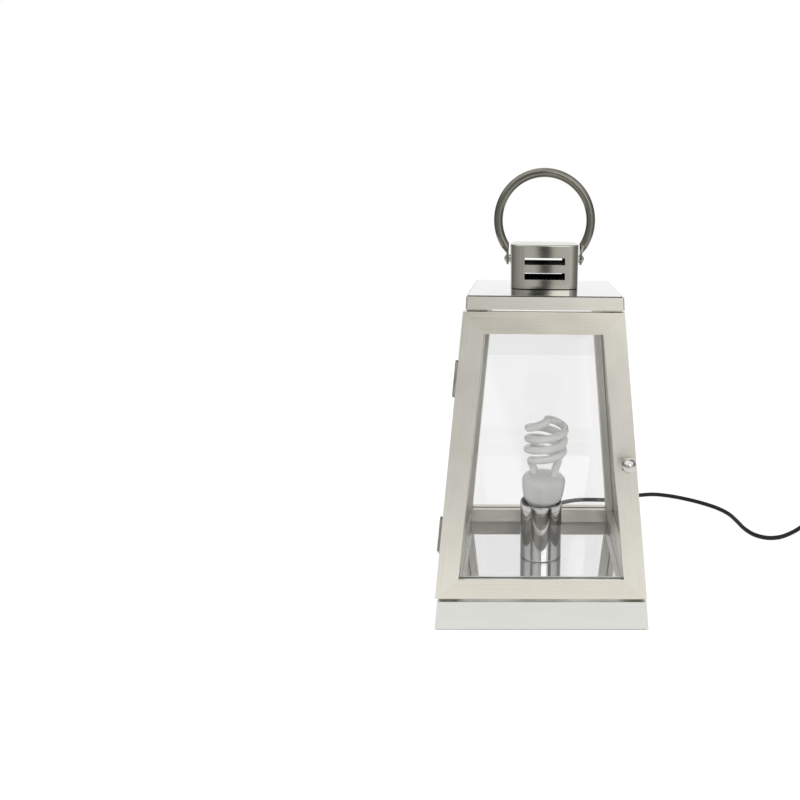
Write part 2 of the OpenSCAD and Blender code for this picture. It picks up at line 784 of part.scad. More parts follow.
// One strand from the top of the bridge, u in turns, then its leg, v from 0 to 1.
function strand_r(u) = spiral_r * sin(90 * min(1, u / 0.22)) - spiral_nip * ease((u - 1.15) / 0.6);
function strand(u) = let (a = 270 - 360 * u, r = strand_r(u))
  [r * cos(a), r * sin(a), spiral_top - spiral_pitch * u - bridge_drop * ease(u / 0.25)];
function leg(v) = let (
    a = 270 - 360 * leg_start - leg_turn * sin(90 * v),
    r = strand_r(leg_start) + (leg_r - strand_r(leg_start)) * ease(v),
    z0 = spiral_top - spiral_pitch * leg_start - bridge_drop,
    z1 = spiral_foot + 1.5
  ) [r * cos(a), r * sin(a), z0 + (z1 - z0) * (1 - cos(90 * v)) - 2.6 * sin(90 * v) * cos(90 * v)];
spiral_steps = 24;
half_strand = concat(
  [for (i = [1:round(spiral_steps * leg_start)]) strand(i / spiral_steps)],
  [for (i = [1:7]) leg(i / 7)],
  [leg(1) - [0, 0, 1.5]]
);
function turned(points) = [for (p = points) [-p[0], -p[1], p[2]]];
function reversed(points) = [for (i = [len(points) - 1:-1:0]) points[i]];
spiral_path = concat(reversed(half_strand), [strand(0)], turned(half_strand));

module bulb_spiral() color(white) leaned() tube(spiral_path, spiral_tube_r, 8);

// ---- swept tubes ----
function unit(v) = v / norm(v);
function heading(path, i) = unit(path[min(i + 1, len(path) - 1)] - path[max(i - 1, 0)]);
// Normals carried along a path without twist.
function carried(path, n, i = 0, done = []) = i == len(path) ? done :
  let (t = heading(path, i), m = unit(n - t * (n * t))) carried(path, m, i + 1, concat(done, [m]));

module tube(path, r, sides) {
  first = heading(path, 0);
  seed = abs(first[2]) > 0.9 ? [1, 0, 0] : cross([0, 0, 1], first);
  normals = carried(path, seed);
  points = [for (i = [0:len(path) - 1], k = [0:sides - 1])
    let (n = normals[i], b = cross(heading(path, i), n), a = 360 * (k + 0.5) / sides)
      path[i] + r * (cos(a) * n + sin(a) * b)];
  last = (len(path) - 1) * sides;
  polyhedron(points, concat(
    [[for (k = [sides - 1:-1:0]) k]],
    [for (i = [0:len(path) - 2], k = [0:sides - 1])
      let (p = i * sides + k, q = i * sides + (k + 1) % sides)
        each [[p, q, q + sides], [p, q + sides, p + sides]]],
    [[for (k = [0:sides - 1]) last + k]]), convexity = 10);
}

// A smooth curve through hand-chosen points, with steps rings to each stretch.
function spline(p, steps) = [for (i = [0:len(p) - 2], s = [0:steps - 1])
    let (a = p[max(i - 1, 0)], b = p[i], c = p[i + 1], d = p[min(i + 2, len(p) - 1)], t = s / steps)
      0.5 * (2 * b + (c - a) * t + (2 * a - 5 * b + 4 * c - d) * t * t + (3 * b - a - 3 * c + d) * t * t * t)];
function route(p, steps) = concat(spline(p, steps), [p[len(p) - 1]]);
function least_gap(path, r, skip) = min([for (i = [0:len(path) - 1], j = [i + skip:1:len(path) - 1])
  norm(path[i] - path[j])]) - 2 * r;
echo(bulb_spiral_gap = least_gap(spiral_path, spiral_tube_r, 14));

// ---- lead ----
tie_t = 0.6;
tie_w = 9;
exit_y = skirt_half(exit_h);
boot_y = exit_y + boot_l;
lead_z = lead_r;
coil_z = tie_t + fit + lead_r;
coil_step = 2 * lead_r + coil_gap;
plug_z = coil_z + coil_step;
coil_x = 366;
coil_y = 64;
coil_mid_r = 5.9 * 2 * lead_r;
coil_out_r = coil_mid_r + coil_step * coil_loops / 4;
coil_tail = 26;
switch_x = 320;
switch_y = 121;

lead_bend = 9;
clamp_y = exit_y - 36;
clamp_l = 10;

// From the boot, through the clamp and up through the nipple.
module internal_lead() {
  inside = [
    [0, boot_y, exit_h], [0, boot_y - lead_bend, exit_h], [0, exit_y, exit_h],
    [0, clamp_y + clamp_l, exit_h], [0, clamp_y, exit_h], [0, 2.4 * lead_bend, exit_h - lead_bend / 3],
    [0, lead_bend, exit_h - lead_bend / 4], [0, 0.22 * lead_bend, exit_h + 0.22 * lead_bend],
    [0, 0, exit_h + 0.9 * lead_bend], [0, 0, exit_h + 1.8 * lead_bend]
  ];
  color(black) tube(route(inside, 2), lead_r - 0.02, 8);
}

module lead_clamp() {
  hole_r = lead_r + fit;
  foot = foot_h + cover_t;
  color(black) difference() {
    translate([-clamp_l * 0.8, clamp_y, foot]) cube([clamp_l * 1.6, clamp_l, exit_h + hole_r + 1.5 - foot]);
    translate([0, 0, exit_h]) rotate([-90, 0, 0]) cylinder(r = hole_r, h = reach);
    translate([-hole_r, 0, 0]) cube([2 * hole_r, reach, exit_h]);
  }
}

module cord_boot() {
  bore = lead_r + run_fit;
  flange_t = 1.6;
  color(black) translate([0, exit_y, exit_h]) rotate([-90, 0, 0]) difference() {
    union() {
      translate([0, 0, -skirt_t - boot_seat - flange_t]) {
        cylinder(r = boot_flange_r, h = flange_t);
        cylinder(r = boot_neck_r, h = skirt_t + 2 * boot_seat + 2 * flange_t);
      }
      translate([0, 0, boot_seat]) {
        cylinder(r = boot_flange_r, h = flange_t);
        cylinder(r1 = boot_neck_r + 0.4, r2 = lead_r + 0.9, h = boot_l - boot_seat);
      }
    }
    cylinder(r = bore, h = 3 * boot_l, center = true);
  }
}

run_points = [
  [0, boot_y, exit_h], [0, boot_y + 8, exit_h - 1], [1, 136, 6], [5, 152, lead_z], [14, 169, lead_z],
  [27, 182, lead_z], [43, 191, lead_z], [60, 194, lead_z], [79, 193.5, lead_z], [96, 194, lead_z],
  [112, 200, lead_z], [129, 207, lead_z], [148, 210, lead_z], [167, 205, lead_z], [184, 196, lead_z],
  [201, 184, lead_z], [217, 168, lead_z], [227, 150, lead_z], [231, 130, lead_z], [234, 110, lead_z],
  [240.5, 94, lead_z], [252, 86, lead_z], [265, 87, lead_z], [277, 93.5, lead_z], [289, 103, lead_z],
  [301, 113, 3.5], [311, 119, 6.5], [switch_x, switch_y, plug_z]
];
link_points = [
  [switch_x + switch_l, switch_y, plug_z], [switch_x + switch_l + 8, switch_y - 1, 8],
  [398, 113, 6], [404, 101, 4.5], [407, 88, coil_z],
  [coil_x + coil_out_r, coil_y + 12, coil_z], [coil_x + coil_out_r, coil_y + 4.8, coil_z]
];

// The ends are squared to the faces that they meet.
function squared(path, first, last) = concat(
  [path[0], path[0] + first * 2 * lead_r],
  [for (i = [2:len(path) - 3]) path[i]],
  [path[len(path) - 1] - last * 2 * lead_r, path[len(path) - 1]]);

// No point of a path lower than the lead lies on the table.
function laid(path) = [for (p = path) [p[0], p[1], max(p[2], lead_z)]];

module cord_run() {
  color(black) tube(squared(laid(route(run_points, 3)), [0, 1, 0], [1, 0, 0]), lead_r, 8);
}
module cord_link() {
  color(black) tube(squared(route(link_points, 3), [1, 0, 0], [0, -1, 0]), lead_r, 8);
}

function coil_point(turn) = let (
    a = -360 * turn,
    from_mid = turn - coil_loops / 2,
    r = coil_out_r - coil_step * coil_loops / 2 + coil_step * sqrt(from_mid * from_mid + 0.01),
    z = coil_z + coil_step * ease(2 * from_mid + 0.5)
  ) [coil_x + r * cos(a), coil_y + r * sin(a), z];
coil_path = concat(
  [[coil_x + coil_out_r, coil_y + 4.8, coil_z]],
  [for (i = [0:24 * coil_loops]) coil_point(i / 24)],
  [for (y = [4.8, coil_tail]) [coil_x + coil_out_r, coil_y - y, plug_z]]
);
echo(coil_gap = least_gap(coil_path, lead_r, 12));

module cord_coil() color(black) tube(coil_path, lead_r, 6);

module cord_tie() {
  inner = coil_out_r - coil_step * coil_loops / 2 - lead_r - 1;
  outer = coil_out_r + lead_r + 1;
  w = outer - inner;
  h = coil_step + 2 * lead_r + 2 * fit;
  color([0.2, 0.2, 0.2]) translate([coil_x - outer, coil_y - tie_w / 2, 0]) difference() {
    translate([-tie_t, 0, 0]) cube([w + 2 * tie_t, tie_w, h + 2 * tie_t]);
    translate([0, -1, tie_t]) cube([w, tie_w + 2, h]);
  }
}

// ---- in-line switch ----
rocker_l = 15;
rocker_w = 9;
rocker_pin_r = 1.5;
rocker_tilt = 7;
switch_wall = 1.6;
split_z = plug_z;
switch_top = 2 * plug_z;
rocker_z = switch_top - 2.2;
rocker_x = switch_x + switch_l / 2;

module switch_outline(inset) {
  offset_r = 5;
  w = switch_w - 2 * inset;
  l = switch_l - 2 * inset;
  r = offset_r - min(inset, 3);
  translate([switch_x + inset + r, switch_y - w / 2]) square([l - 2 * r, w]);
  translate([switch_x + inset, switch_y - w / 2 + r]) square([l, w - 2 * r]);
  for (x = [switch_x + inset + r, switch_x + inset + l - r], y = [-1, 1])
    translate([x, switch_y + y * (w / 2 - r)]) circle(r);
}
module switch_screw_holes(r) {
  for (x = [11, switch_l - 11]) translate([switch_x + x, switch_y + 6.5, -1]) cylinder(r = r, h = reach);
}

module switch_lower() {
  color(black) difference() {
    linear_extrude(split_z) switch_outline(0);
    translate([0, 0, switch_wall]) linear_extrude(reach) switch_outline(switch_wall + 1.2);
  }
  color(black) for (x = [11, switch_l - 11]) translate([switch_x + x, switch_y + 6.5, switch_wall - eps])
    difference() {
      cylinder(r = 3, h = split_z - switch_wall);
      translate([0, 0, 2]) cylinder(r = 1.05, h = reach);
    }
}

module switch_upper() {
  color(black) difference() {
    translate([0, 0, split_z]) linear_extrude(switch_top - split_z) switch_outline(0);
    translate([0, 0, split_z - eps]) linear_extrude(switch_top - split_z - switch_wall)
      switch_outline(switch_wall + 1.2);
    translate([rocker_x - rocker_l / 2 - 0.6, switch_y - rocker_w / 2 - 0.4, split_z])
      cube([rocker_l + 1.2, rocker_w + 0.8, reach]);
    translate([rocker_x, switch_y, rocker_z]) rotate([90, 0, 0])
      cylinder(r = rocker_pin_r + run_fit, h = rocker_w + 5, center = true);
    translate([0, 0, 0]) switch_screw_holes(1.25);
  }
  color(black) translate([rocker_x, switch_y, 0]) for (side = [-1, 1])
    translate([-3.5, side * (rocker_w / 2 + 1.9) - 1.5, rocker_z - 4]) difference() {
      cube([7, 3, switch_top - switch_wall - rocker_z + 4 + eps]);
      translate([3.5, -1, 4]) rotate([-90, 0, 0]) cylinder(r = rocker_pin_r + run_fit, h = 5);
    }
}

module switch_rocker() {
  color([0.25, 0.25, 0.25]) translate([rocker_x, switch_y, rocker_z]) rotate([0, rocker_tilt, 0]) {
    rotate([90, 0, 0]) linear_extrude(rocker_w, center = true) polygon([
      [-rocker_l / 2 + 0.4, -1], [-rocker_l / 2, 3.6], [0, 2.9], [rocker_l / 2, 3.6],
      [rocker_l / 2 - 0.4, -1], [2, -3.2], [-2, -3.2]
    ]);
    rotate([90, 0, 0]) cylinder(r = rocker_pin_r, h = rocker_w + 4.4, center = true);
  }
}

module switch_screws() {
  color(steel) for (x = [11, switch_l - 11]) translate([switch_x + x, switch_y + 6.5, 0]) {
    translate([0, 0, 4]) cylinder(r = 1, h = switch_top - 4);
    translate([0, 0, switch_top]) cylinder(r = 2.1, h = 0.8);
  }
}

// ---- plug ----
plug_x = coil_x + coil_out_r;
plug_y = coil_y - coil_tail;
plug_neck_l = 12;

module plug_body() {
  r = 3;
  color(black) {
    translate([plug_x, plug_y, plug_z]) rotate([90, 0, 0])
      cylinder(r1 = lead_r + 1, r2 = lead_r + 2.6, h = plug_neck_l);
    hull() for (p = [[7, plug_neck_l - 0.6, 5], [plug_w / 2 - r, plug_neck_l + 10, plug_z - r],
                     [plug_w / 2 - r, plug_l - r, plug_z - r]], x = [-1, 1], z = [-1, 1])
      translate([plug_x + x * p[0], plug_y - p[1], plug_z + z * p[2]])
        rotate([90, 0, 0]) cylinder(r = r, h = r, $fn = 24);
  }
}

module plug_pins() {
  pin_pitch = 19;
  pin_l = 19;
  color(steel) for (x = [-1, 1]) translate([plug_x + x * pin_pitch / 2, plug_y - plug_l, plug_z])
    rotate([90, 0, 0]) {
      cylinder(r = 2, h = pin_l - 2);
      translate([0, 0, pin_l - 2]) sphere(r = 2);
    }
}

base_skirt();
mirror_floor();
bottom_cover();
base_screws();
rubber_feet();
post_front_left();
post_front_right();
post_back_left();
post_back_right();
bottom_rail_left();
bottom_rail_right();
bottom_rail_back();
top_rail_left();
top_rail_right();
top_rail_back();
glass_left();
glass_right();
glass_back();
lid_band();
roof_plate();
collar();
handle_rivets();
handle_ring();
hinge_body_leaves();
hinge_door_leaves();
hinge_pins();
magnet_catch();
door_strike();
door_stile_left();
door_stile_right();
door_rail_bottom();
door_rail_top();
door_glass();
door_knob();
knob_screw();
lampholder_sleeve();
lampholder_insert();
screw_shell();
lampholder_contacts();
threaded_nipple();
nipple_nut();
internal_lead();
lead_clamp();
cord_boot();
bulb_housing();
bulb_spiral();
bulb_cap();
bulb_contact();
cord_run();
switch_lower();
switch_upper();
switch_rocker();
switch_screws();
cord_link();
cord_coil();
cord_tie();
plug_body();
plug_pins();
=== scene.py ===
# Looks of the lantern table lamp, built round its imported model.
# Blender works in metres. Sizes and places below are in millimetres, and MM turns them into metres.
import json
import math

import bpy
from mathutils import Matrix, Vector


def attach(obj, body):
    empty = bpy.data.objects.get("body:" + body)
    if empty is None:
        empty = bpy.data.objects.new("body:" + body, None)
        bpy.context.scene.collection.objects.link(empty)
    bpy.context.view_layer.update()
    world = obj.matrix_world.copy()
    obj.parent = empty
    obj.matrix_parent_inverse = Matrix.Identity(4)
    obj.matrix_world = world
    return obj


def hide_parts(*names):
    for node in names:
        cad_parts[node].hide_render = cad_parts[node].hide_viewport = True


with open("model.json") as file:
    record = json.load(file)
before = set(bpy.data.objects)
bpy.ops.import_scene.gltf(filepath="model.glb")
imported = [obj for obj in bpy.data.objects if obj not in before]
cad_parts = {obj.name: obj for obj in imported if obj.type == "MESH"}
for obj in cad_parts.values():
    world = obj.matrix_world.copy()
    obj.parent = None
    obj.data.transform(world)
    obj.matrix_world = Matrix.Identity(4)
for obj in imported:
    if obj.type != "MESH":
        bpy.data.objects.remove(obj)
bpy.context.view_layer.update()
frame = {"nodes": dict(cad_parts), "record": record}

MM = 0.001
NODES = frame["nodes"]
BODIES = frame["record"]["behaviour"]["bodies"]
BODY_OF = {node: body for body, nodes in BODIES.items() for node in nodes}

# ---- sizes shared with the part's source ----
DECK_Z, FLOOR_Z, BAND_Z1, ROOF_Z = 25.8, 26.6, 284.0, 286.2
HALF_DECK, LEAN = 90.15, 0.106091
DOOR_Z0, DOOR_Z1, DOOR_FOOT_H, DOOR_HEAD_H = 29.5, 272.0, 17.1, 17.6
STILE_W, MITRE_LAND, DOOR_PROUD = 18.5, 0.6, 1.8
# How far the door passes the walls' width, on the left and on the right
DOOR_LAPS = {-1: 2.1, 1: 0.2}
COLLAR_TOP_Z, PIVOT_Z = 323.2, 309.9
SLOT_W, SLOT_H, SLOT_Z, SLOT_PITCH = 34.2, 5.8, 297.1, 12.4
SLEEVE_R, SLEEVE_H, SLEEVE_T = 20.0, 55.7, 1.2
CAP_Z, CAP_R, CAP_H = 51.2, 12.9, 24.0
HOUSING_R, HOUSING_H = 20.6, 33.5
BULB_LEAN = 2.4
SPIRAL_R, SPIRAL_TUBE_R, SPIRAL_H, SPIRAL_PITCH = 17.1, 3.65, 54.4, 20.6
SPIRAL_DROP, SPIRAL_NIP = 3.7, 3.0
# Where a strand of the spiral, counted in turns, becomes the leg that turns down to the housing
SPIRAL_LEG_START, SPIRAL_LEG_TURN, SPIRAL_LEG_R = 1.75 - 1 / 12, 40, 9.8
KNOB_Z, KNOB_R, KNOB_REACH, KNOB_SIDE = 148.8, 6.4, 9.5, 1.4
LEAD_R, EXIT_Y, EXIT_H, BOOT_L = 2.4, 91.5411, 12.0, 22.0
BOOT_Y = EXIT_Y + BOOT_L
COIL_Z, COIL_STEP, COIL_LOOPS = 3.3, 5.35, 6
PLUG_Z = COIL_Z + COIL_STEP
COIL_X, COIL_Y, COIL_OUT_R = 366.0, 64.0, 36.345
SWITCH_X, SWITCH_L, SWITCH_Y = 320.0, 58.0, 121.0
PLUG_X, PLUG_Y = COIL_X + COIL_OUT_R, 38.0


def half(z):
    """Half width of the leaning walls at a height."""
    return HALF_DECK - LEAN * (z - DECK_Z)


# ---- camera ----
def make_camera():
    data = bpy.data.cameras.new("camera")
    data.lens, data.sensor_width = 33.06, 36
    data.shift_x = -0.1752
    camera = bpy.data.objects.new("camera", data)
    bpy.context.collection.objects.link(camera)
    yaw, pitch, roll = 0.020, 0.262, 0.012
    camera.matrix_world = (
        Matrix.Translation(Vector((-15.09, -654.81, 357.05)) * MM)
        @ Matrix.Rotation(-yaw, 4, "Z")
        @ Matrix.Rotation(math.pi / 2 - pitch, 4, "X")
        @ Matrix.Rotation(roll, 4, "Z")
    )
    bpy.context.scene.camera = camera


make_camera()


# ---- hand tools ----
def only(piece):
    """Selects one piece."""
    if bpy.context.object and bpy.context.object.mode != "OBJECT":
        bpy.ops.object.mode_set(mode="OBJECT")
    bpy.ops.object.select_all(action="DESELECT")
    piece.select_set(True)
    bpy.context.view_layer.objects.active = piece


def settle(piece):
    """Puts the piece's place into its mesh."""
    only(piece)
    bpy.ops.object.transform_apply(location=True, rotation=True, scale=True)
    return piece


def pick(piece, kind, test):
    """Goes into edit mode with the faces or edges for which test is true selected."""
    only(piece)
    bpy.ops.object.mode_set(mode="EDIT")
    bpy.ops.mesh.select_mode(type=kind)
    bpy.ops.mesh.select_all(action="DESELECT")
    bpy.ops.object.mode_set(mode="OBJECT")
    mesh = piece.data
    if kind == "FACE":
        for face in mesh.polygons:
            face.select = test(face.center / MM, face.normal)
    else:
        for edge in mesh.edges:
            a, b = (mesh.vertices[i].co / MM for i in edge.vertices)
            edge.select = test(a, b)
    bpy.ops.object.mode_set(mode="EDIT")


def bevel(radius, segments):
    """Rounds the selected edges and leaves edit mode."""
    bpy.ops.mesh.bevel(offset=radius * MM, segments=segments, affect="EDGES", clamp_overlap=True)
    bpy.ops.object.mode_set(mode="OBJECT")


def round_sharp(piece, radius, angle=38, segments=2, keep=None):
    """Rounds every edge sharper than angle, but for those that keep is true for."""
    only(piece)
    bpy.ops.object.mode_set(mode="EDIT")
    bpy.ops.mesh.select_mode(type="EDGE")
    bpy.ops.mesh.select_all(action="DESELECT")
    bpy.ops.mesh.edges_select_sharp(sharpness=math.radians(angle))
    bpy.ops.object.mode_set(mode="OBJECT")
    mesh = piece.data
    sharp = {tuple(sorted(edge.vertices)) for edge in mesh.edges if edge.select}
    places = [vertex.co / MM for vertex in mesh.vertices]
    chosen = {pair for pair in sharp if not (keep and keep(places[pair[0]], places[pair[1]]))}
    bpy.ops.object.mode_set(mode="EDIT")
    bpy.ops.mesh.select_all(action="DESELECT")
    bpy.ops.object.mode_set(mode="OBJECT")
    for edge in mesh.edges:
        edge.select = tuple(sorted(edge.vertices)) in chosen
    bpy.ops.object.mode_set(mode="EDIT")
    bevel(radius, segments)


def mark(piece, test):
    """Marks the faces that take the second colour of their finish."""
    marks = piece.data.attributes.new("marked", "FLOAT", "FACE")
    for face in piece.data.polygons:
        marks.data[face.index].value = float(test(face.center / MM, face.normal))


def modify(piece, kind, **settings):
    """Adds a modifier, sets it and applies it."""
    only(piece)
    modifier = piece.modifiers.new(kind.lower(), kind)
    for key, value in settings.items():
        setattr(modifier, key, value)
    bpy.ops.object.modifier_apply(modifier=modifier.name)


def smooth(piece, angle=35):
    """Smooth shading that keeps edges sharper than angle, and flat faces flat."""
    only(piece)
    bpy.ops.object.shade_smooth_by_angle(angle=math.radians(angle))
    modify(piece, "WEIGHTED_NORMAL", keep_sharp=True, weight=100)


def copied(node, name):
    """A copy of a CAD node with its loose triangles joined into whole faces."""
    piece = bpy.data.objects.new(name, NODES[node].data.copy())
    bpy.context.collection.objects.link(piece)
    only(piece)
    bpy.ops.object.mode_set(mode="EDIT")
    bpy.ops.mesh.select_all(action="SELECT")
    bpy.ops.mesh.remove_doubles(threshold=0.002 * MM)
    bpy.ops.mesh.dissolve_limited(angle_limit=math.radians(0.5))
    bpy.ops.object.mode_set(mode="OBJECT")
    return piece


def edged(node, radius, angle=38, segments=2, keep=None):
    """A copy of a CAD node with its sharp edges rounded."""
    piece = copied(node, node + "_rounded")
    round_sharp(piece, radius, angle, segments, keep)
    smooth(piece)
    return stands_for(piece, node)


def stands_for(piece, *nodes):
    """The piece takes the place of CAD nodes, on their body."""
    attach(piece, BODY_OF[nodes[0]])
    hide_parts(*nodes)
    return piece


def cut_out(piece, cutter):
    """Takes the cutter's shape out of the piece, and the cutter away."""
    modify(piece, "BOOLEAN", operation="DIFFERENCE", solver="EXACT", object=cutter)
    bpy.data.objects.remove(cutter, do_unlink=True)


def turned(name, profile, segments=64, closed=False, outline=None):
    """A piece whose ring is extruded and scaled through a profile of (radius, height). The ring is a
    circle, or an outline of (x, y) whose radius is that of the profile's first row. The ends are
    filled, or joined to each other if closed."""
    r0, z0 = profile[0]
    bpy.ops.object.select_all(action="DESELECT")
    bpy.ops.mesh.primitive_circle_add(
        vertices=len(outline) if outline else segments, radius=r0 * MM, location=(0, 0, z0 * MM),
        fill_type="NOTHING",
    )
    piece = bpy.context.object
    piece.name = name
    settle(piece)
    if outline:
        for vertex, (x, y) in zip(piece.data.vertices, outline):
            vertex.co = (x * MM, y * MM, z0 * MM)
    bpy.ops.object.mode_set(mode="EDIT")
    bpy.ops.mesh.select_all(action="SELECT")
    previous = r0
    for r, z in profile[1:]:
        bpy.ops.mesh.extrude_region_move(TRANSFORM_OT_translate={"value": (0, 0, (z - z0) * MM)})
        bpy.ops.transform.resize(
            value=(r / previous, r / previous, 1), center_override=(0, 0, z * MM)
        )
        previous, z0 = r, z
    bpy.ops.mesh.select_all(action="DESELECT")
    bpy.ops.mesh.select_mode(type="EDGE")
    bpy.ops.mesh.select_non_manifold()
    if closed:
        bpy.ops.mesh.bridge_edge_loops()
    else:
        bpy.ops.mesh.fill_holes(sides=0)
    bpy.ops.mesh.select_all(action="SELECT")
    bpy.ops.mesh.normals_make_consistent(inside=False)
    bpy.ops.object.mode_set(mode="OBJECT")
    return piece


def placed(piece, matrix):
    """Moves a piece that was made at the origin and settles it there."""
    piece.matrix_world = matrix @ piece.matrix_world
    return settle(piece)


def rod_curve(name, points, radius, sides):
    """A round rod through points, as a curve."""
    data = bpy.data.curves.new(name, "CURVE")
    data.dimensions = "3D"
    data.bevel_depth = radius * MM
    data.bevel_resolution = sides // 4 - 2
    data.use_fill_caps = True
    spline = data.splines.new("POLY")
    spline.points.add(len(points) - 1)
    for point, (x, y, z) in zip(spline.points, points):
        point.co = (x * MM, y * MM, z * MM, 1)
    spline.use_smooth = True
    piece = bpy.data.objects.new(name, data)
    bpy.context.collection.objects.link(piece)
    return piece


def tube(name, points, radius, sides):
    """A round rod through points, as a mesh."""
    only(rod_curve(name, points, radius, sides))
    bpy.ops.object.convert(target="MESH")
    piece = bpy.context.object
    only(piece)
    bpy.ops.object.mode_set(mode="EDIT")
    bpy.ops.mesh.select_all(action="SELECT")
    bpy.ops.mesh.remove_doubles(threshold=0.001 * MM)
    bpy.ops.mesh.normals_make_consistent(inside=False)
    bpy.ops.object.mode_set(mode="OBJECT")
    return piece


# ---- the lead's route, as in the part's source ----
LEAD_SIDES, ROUTE_STEPS, COIL_STEPS = 20, 6, 48
# The straight run of the lead at both ends of the coil
COIL_STUB = 4.8
RUN_POINTS = [
    (0, BOOT_Y, EXIT_H), (0, BOOT_Y + 8, EXIT_H - 1), (1, 136, 6), (5, 152, LEAD_R), (14, 169, LEAD_R),
    (27, 182, LEAD_R), (43, 191, LEAD_R), (60, 194, LEAD_R), (79, 193.5, LEAD_R), (96, 194, LEAD_R),
    (112, 200, LEAD_R), (129, 207, LEAD_R), (148, 210, LEAD_R), (167, 205, LEAD_R), (184, 196, LEAD_R),
    (201, 184, LEAD_R), (217, 168, LEAD_R), (227, 150, LEAD_R), (231, 130, LEAD_R), (234, 110, LEAD_R),
    (240.5, 94, LEAD_R), (252, 86, LEAD_R), (265, 87, LEAD_R), (277, 93.5, LEAD_R), (289, 103, LEAD_R),
    (301, 113, 3.5), (311, 119, 6.5), (SWITCH_X, SWITCH_Y, PLUG_Z),
]
LINK_POINTS = [
    (SWITCH_X + SWITCH_L, SWITCH_Y, PLUG_Z), (SWITCH_X + SWITCH_L + 8, SWITCH_Y - 1, 8),
    (398, 113, 6), (404, 101, 4.5), (407, 88, COIL_Z),
    (PLUG_X, COIL_Y + 12, COIL_Z), (PLUG_X, COIL_Y + COIL_STUB, COIL_Z),
]


def route(points, steps):
    """A smooth curve through points, with steps stretches between two of them."""
    p = [Vector(point) for point in points]
    made = []
    for i in range(len(p) - 1):
        a, b, c, d = p[max(i - 1, 0)], p[i], p[i + 1], p[min(i + 2, len(p) - 1)]
        for step in range(steps):
            t = step / steps
            made.append(
                0.5 * (2 * b + (c - a) * t + (2 * a - 5 * b + 4 * c - d) * t * t
                       + (3 * b - a - 3 * c + d) * t ** 3)
            )
    return made + [p[-1]]


def squared(points, first, last):
    """The path with its ends square to the faces that they meet."""
    run = 2 * LEAD_R
    return [
        points[0], points[0] + run * Vector(first), *points[2:-2],
        points[-1] - run * Vector(last), points[-1],
    ]


def ease(t):
    """Rises softly from 0 to 1 while t does."""
    t = max(0.0, min(1.0, t))
    return (1 - math.cos(math.pi * t)) / 2


def coil_point(turn):
    """A place in the coil, which winds in on the table and out again one layer higher."""
    middle = turn - COIL_LOOPS / 2
    r = COIL_OUT_R - COIL_STEP * COIL_LOOPS / 2 + COIL_STEP * math.sqrt(middle * middle + 0.01)
    a = -2 * math.pi * turn
    return Vector((
        COIL_X + r * math.cos(a), COIL_Y + r * math.sin(a),
        COIL_Z + COIL_STEP * ease(2 * middle + 0.5),
    ))


def laid(points):
    """The path with no point lower than a lead that lies on the table."""
    return [Vector((p.x, p.y, max(p.z, LEAD_R))) for p in points]


run_path = squared(laid(route(RUN_POINTS, ROUTE_STEPS)), (0, 1, 0), (1, 0, 0))
link_path = squared(route(LINK_POINTS, ROUTE_STEPS), (1, 0, 0), (0, -1, 0))
coil_path = (
    [coil_point(i / COIL_STEPS) for i in range(COIL_STEPS * COIL_LOOPS + 1)]
    + [Vector((PLUG_X, COIL_Y - COIL_STUB, PLUG_Z)), Vector((PLUG_X, PLUG_Y, PLUG_Z))]
)
tail_path = link_path[:-1] + coil_path
lead_run = tube("lead_run", run_path, LEAD_R, LEAD_SIDES)
lead_tail = tube("lead_tail", tail_path, LEAD_R, LEAD_SIDES)


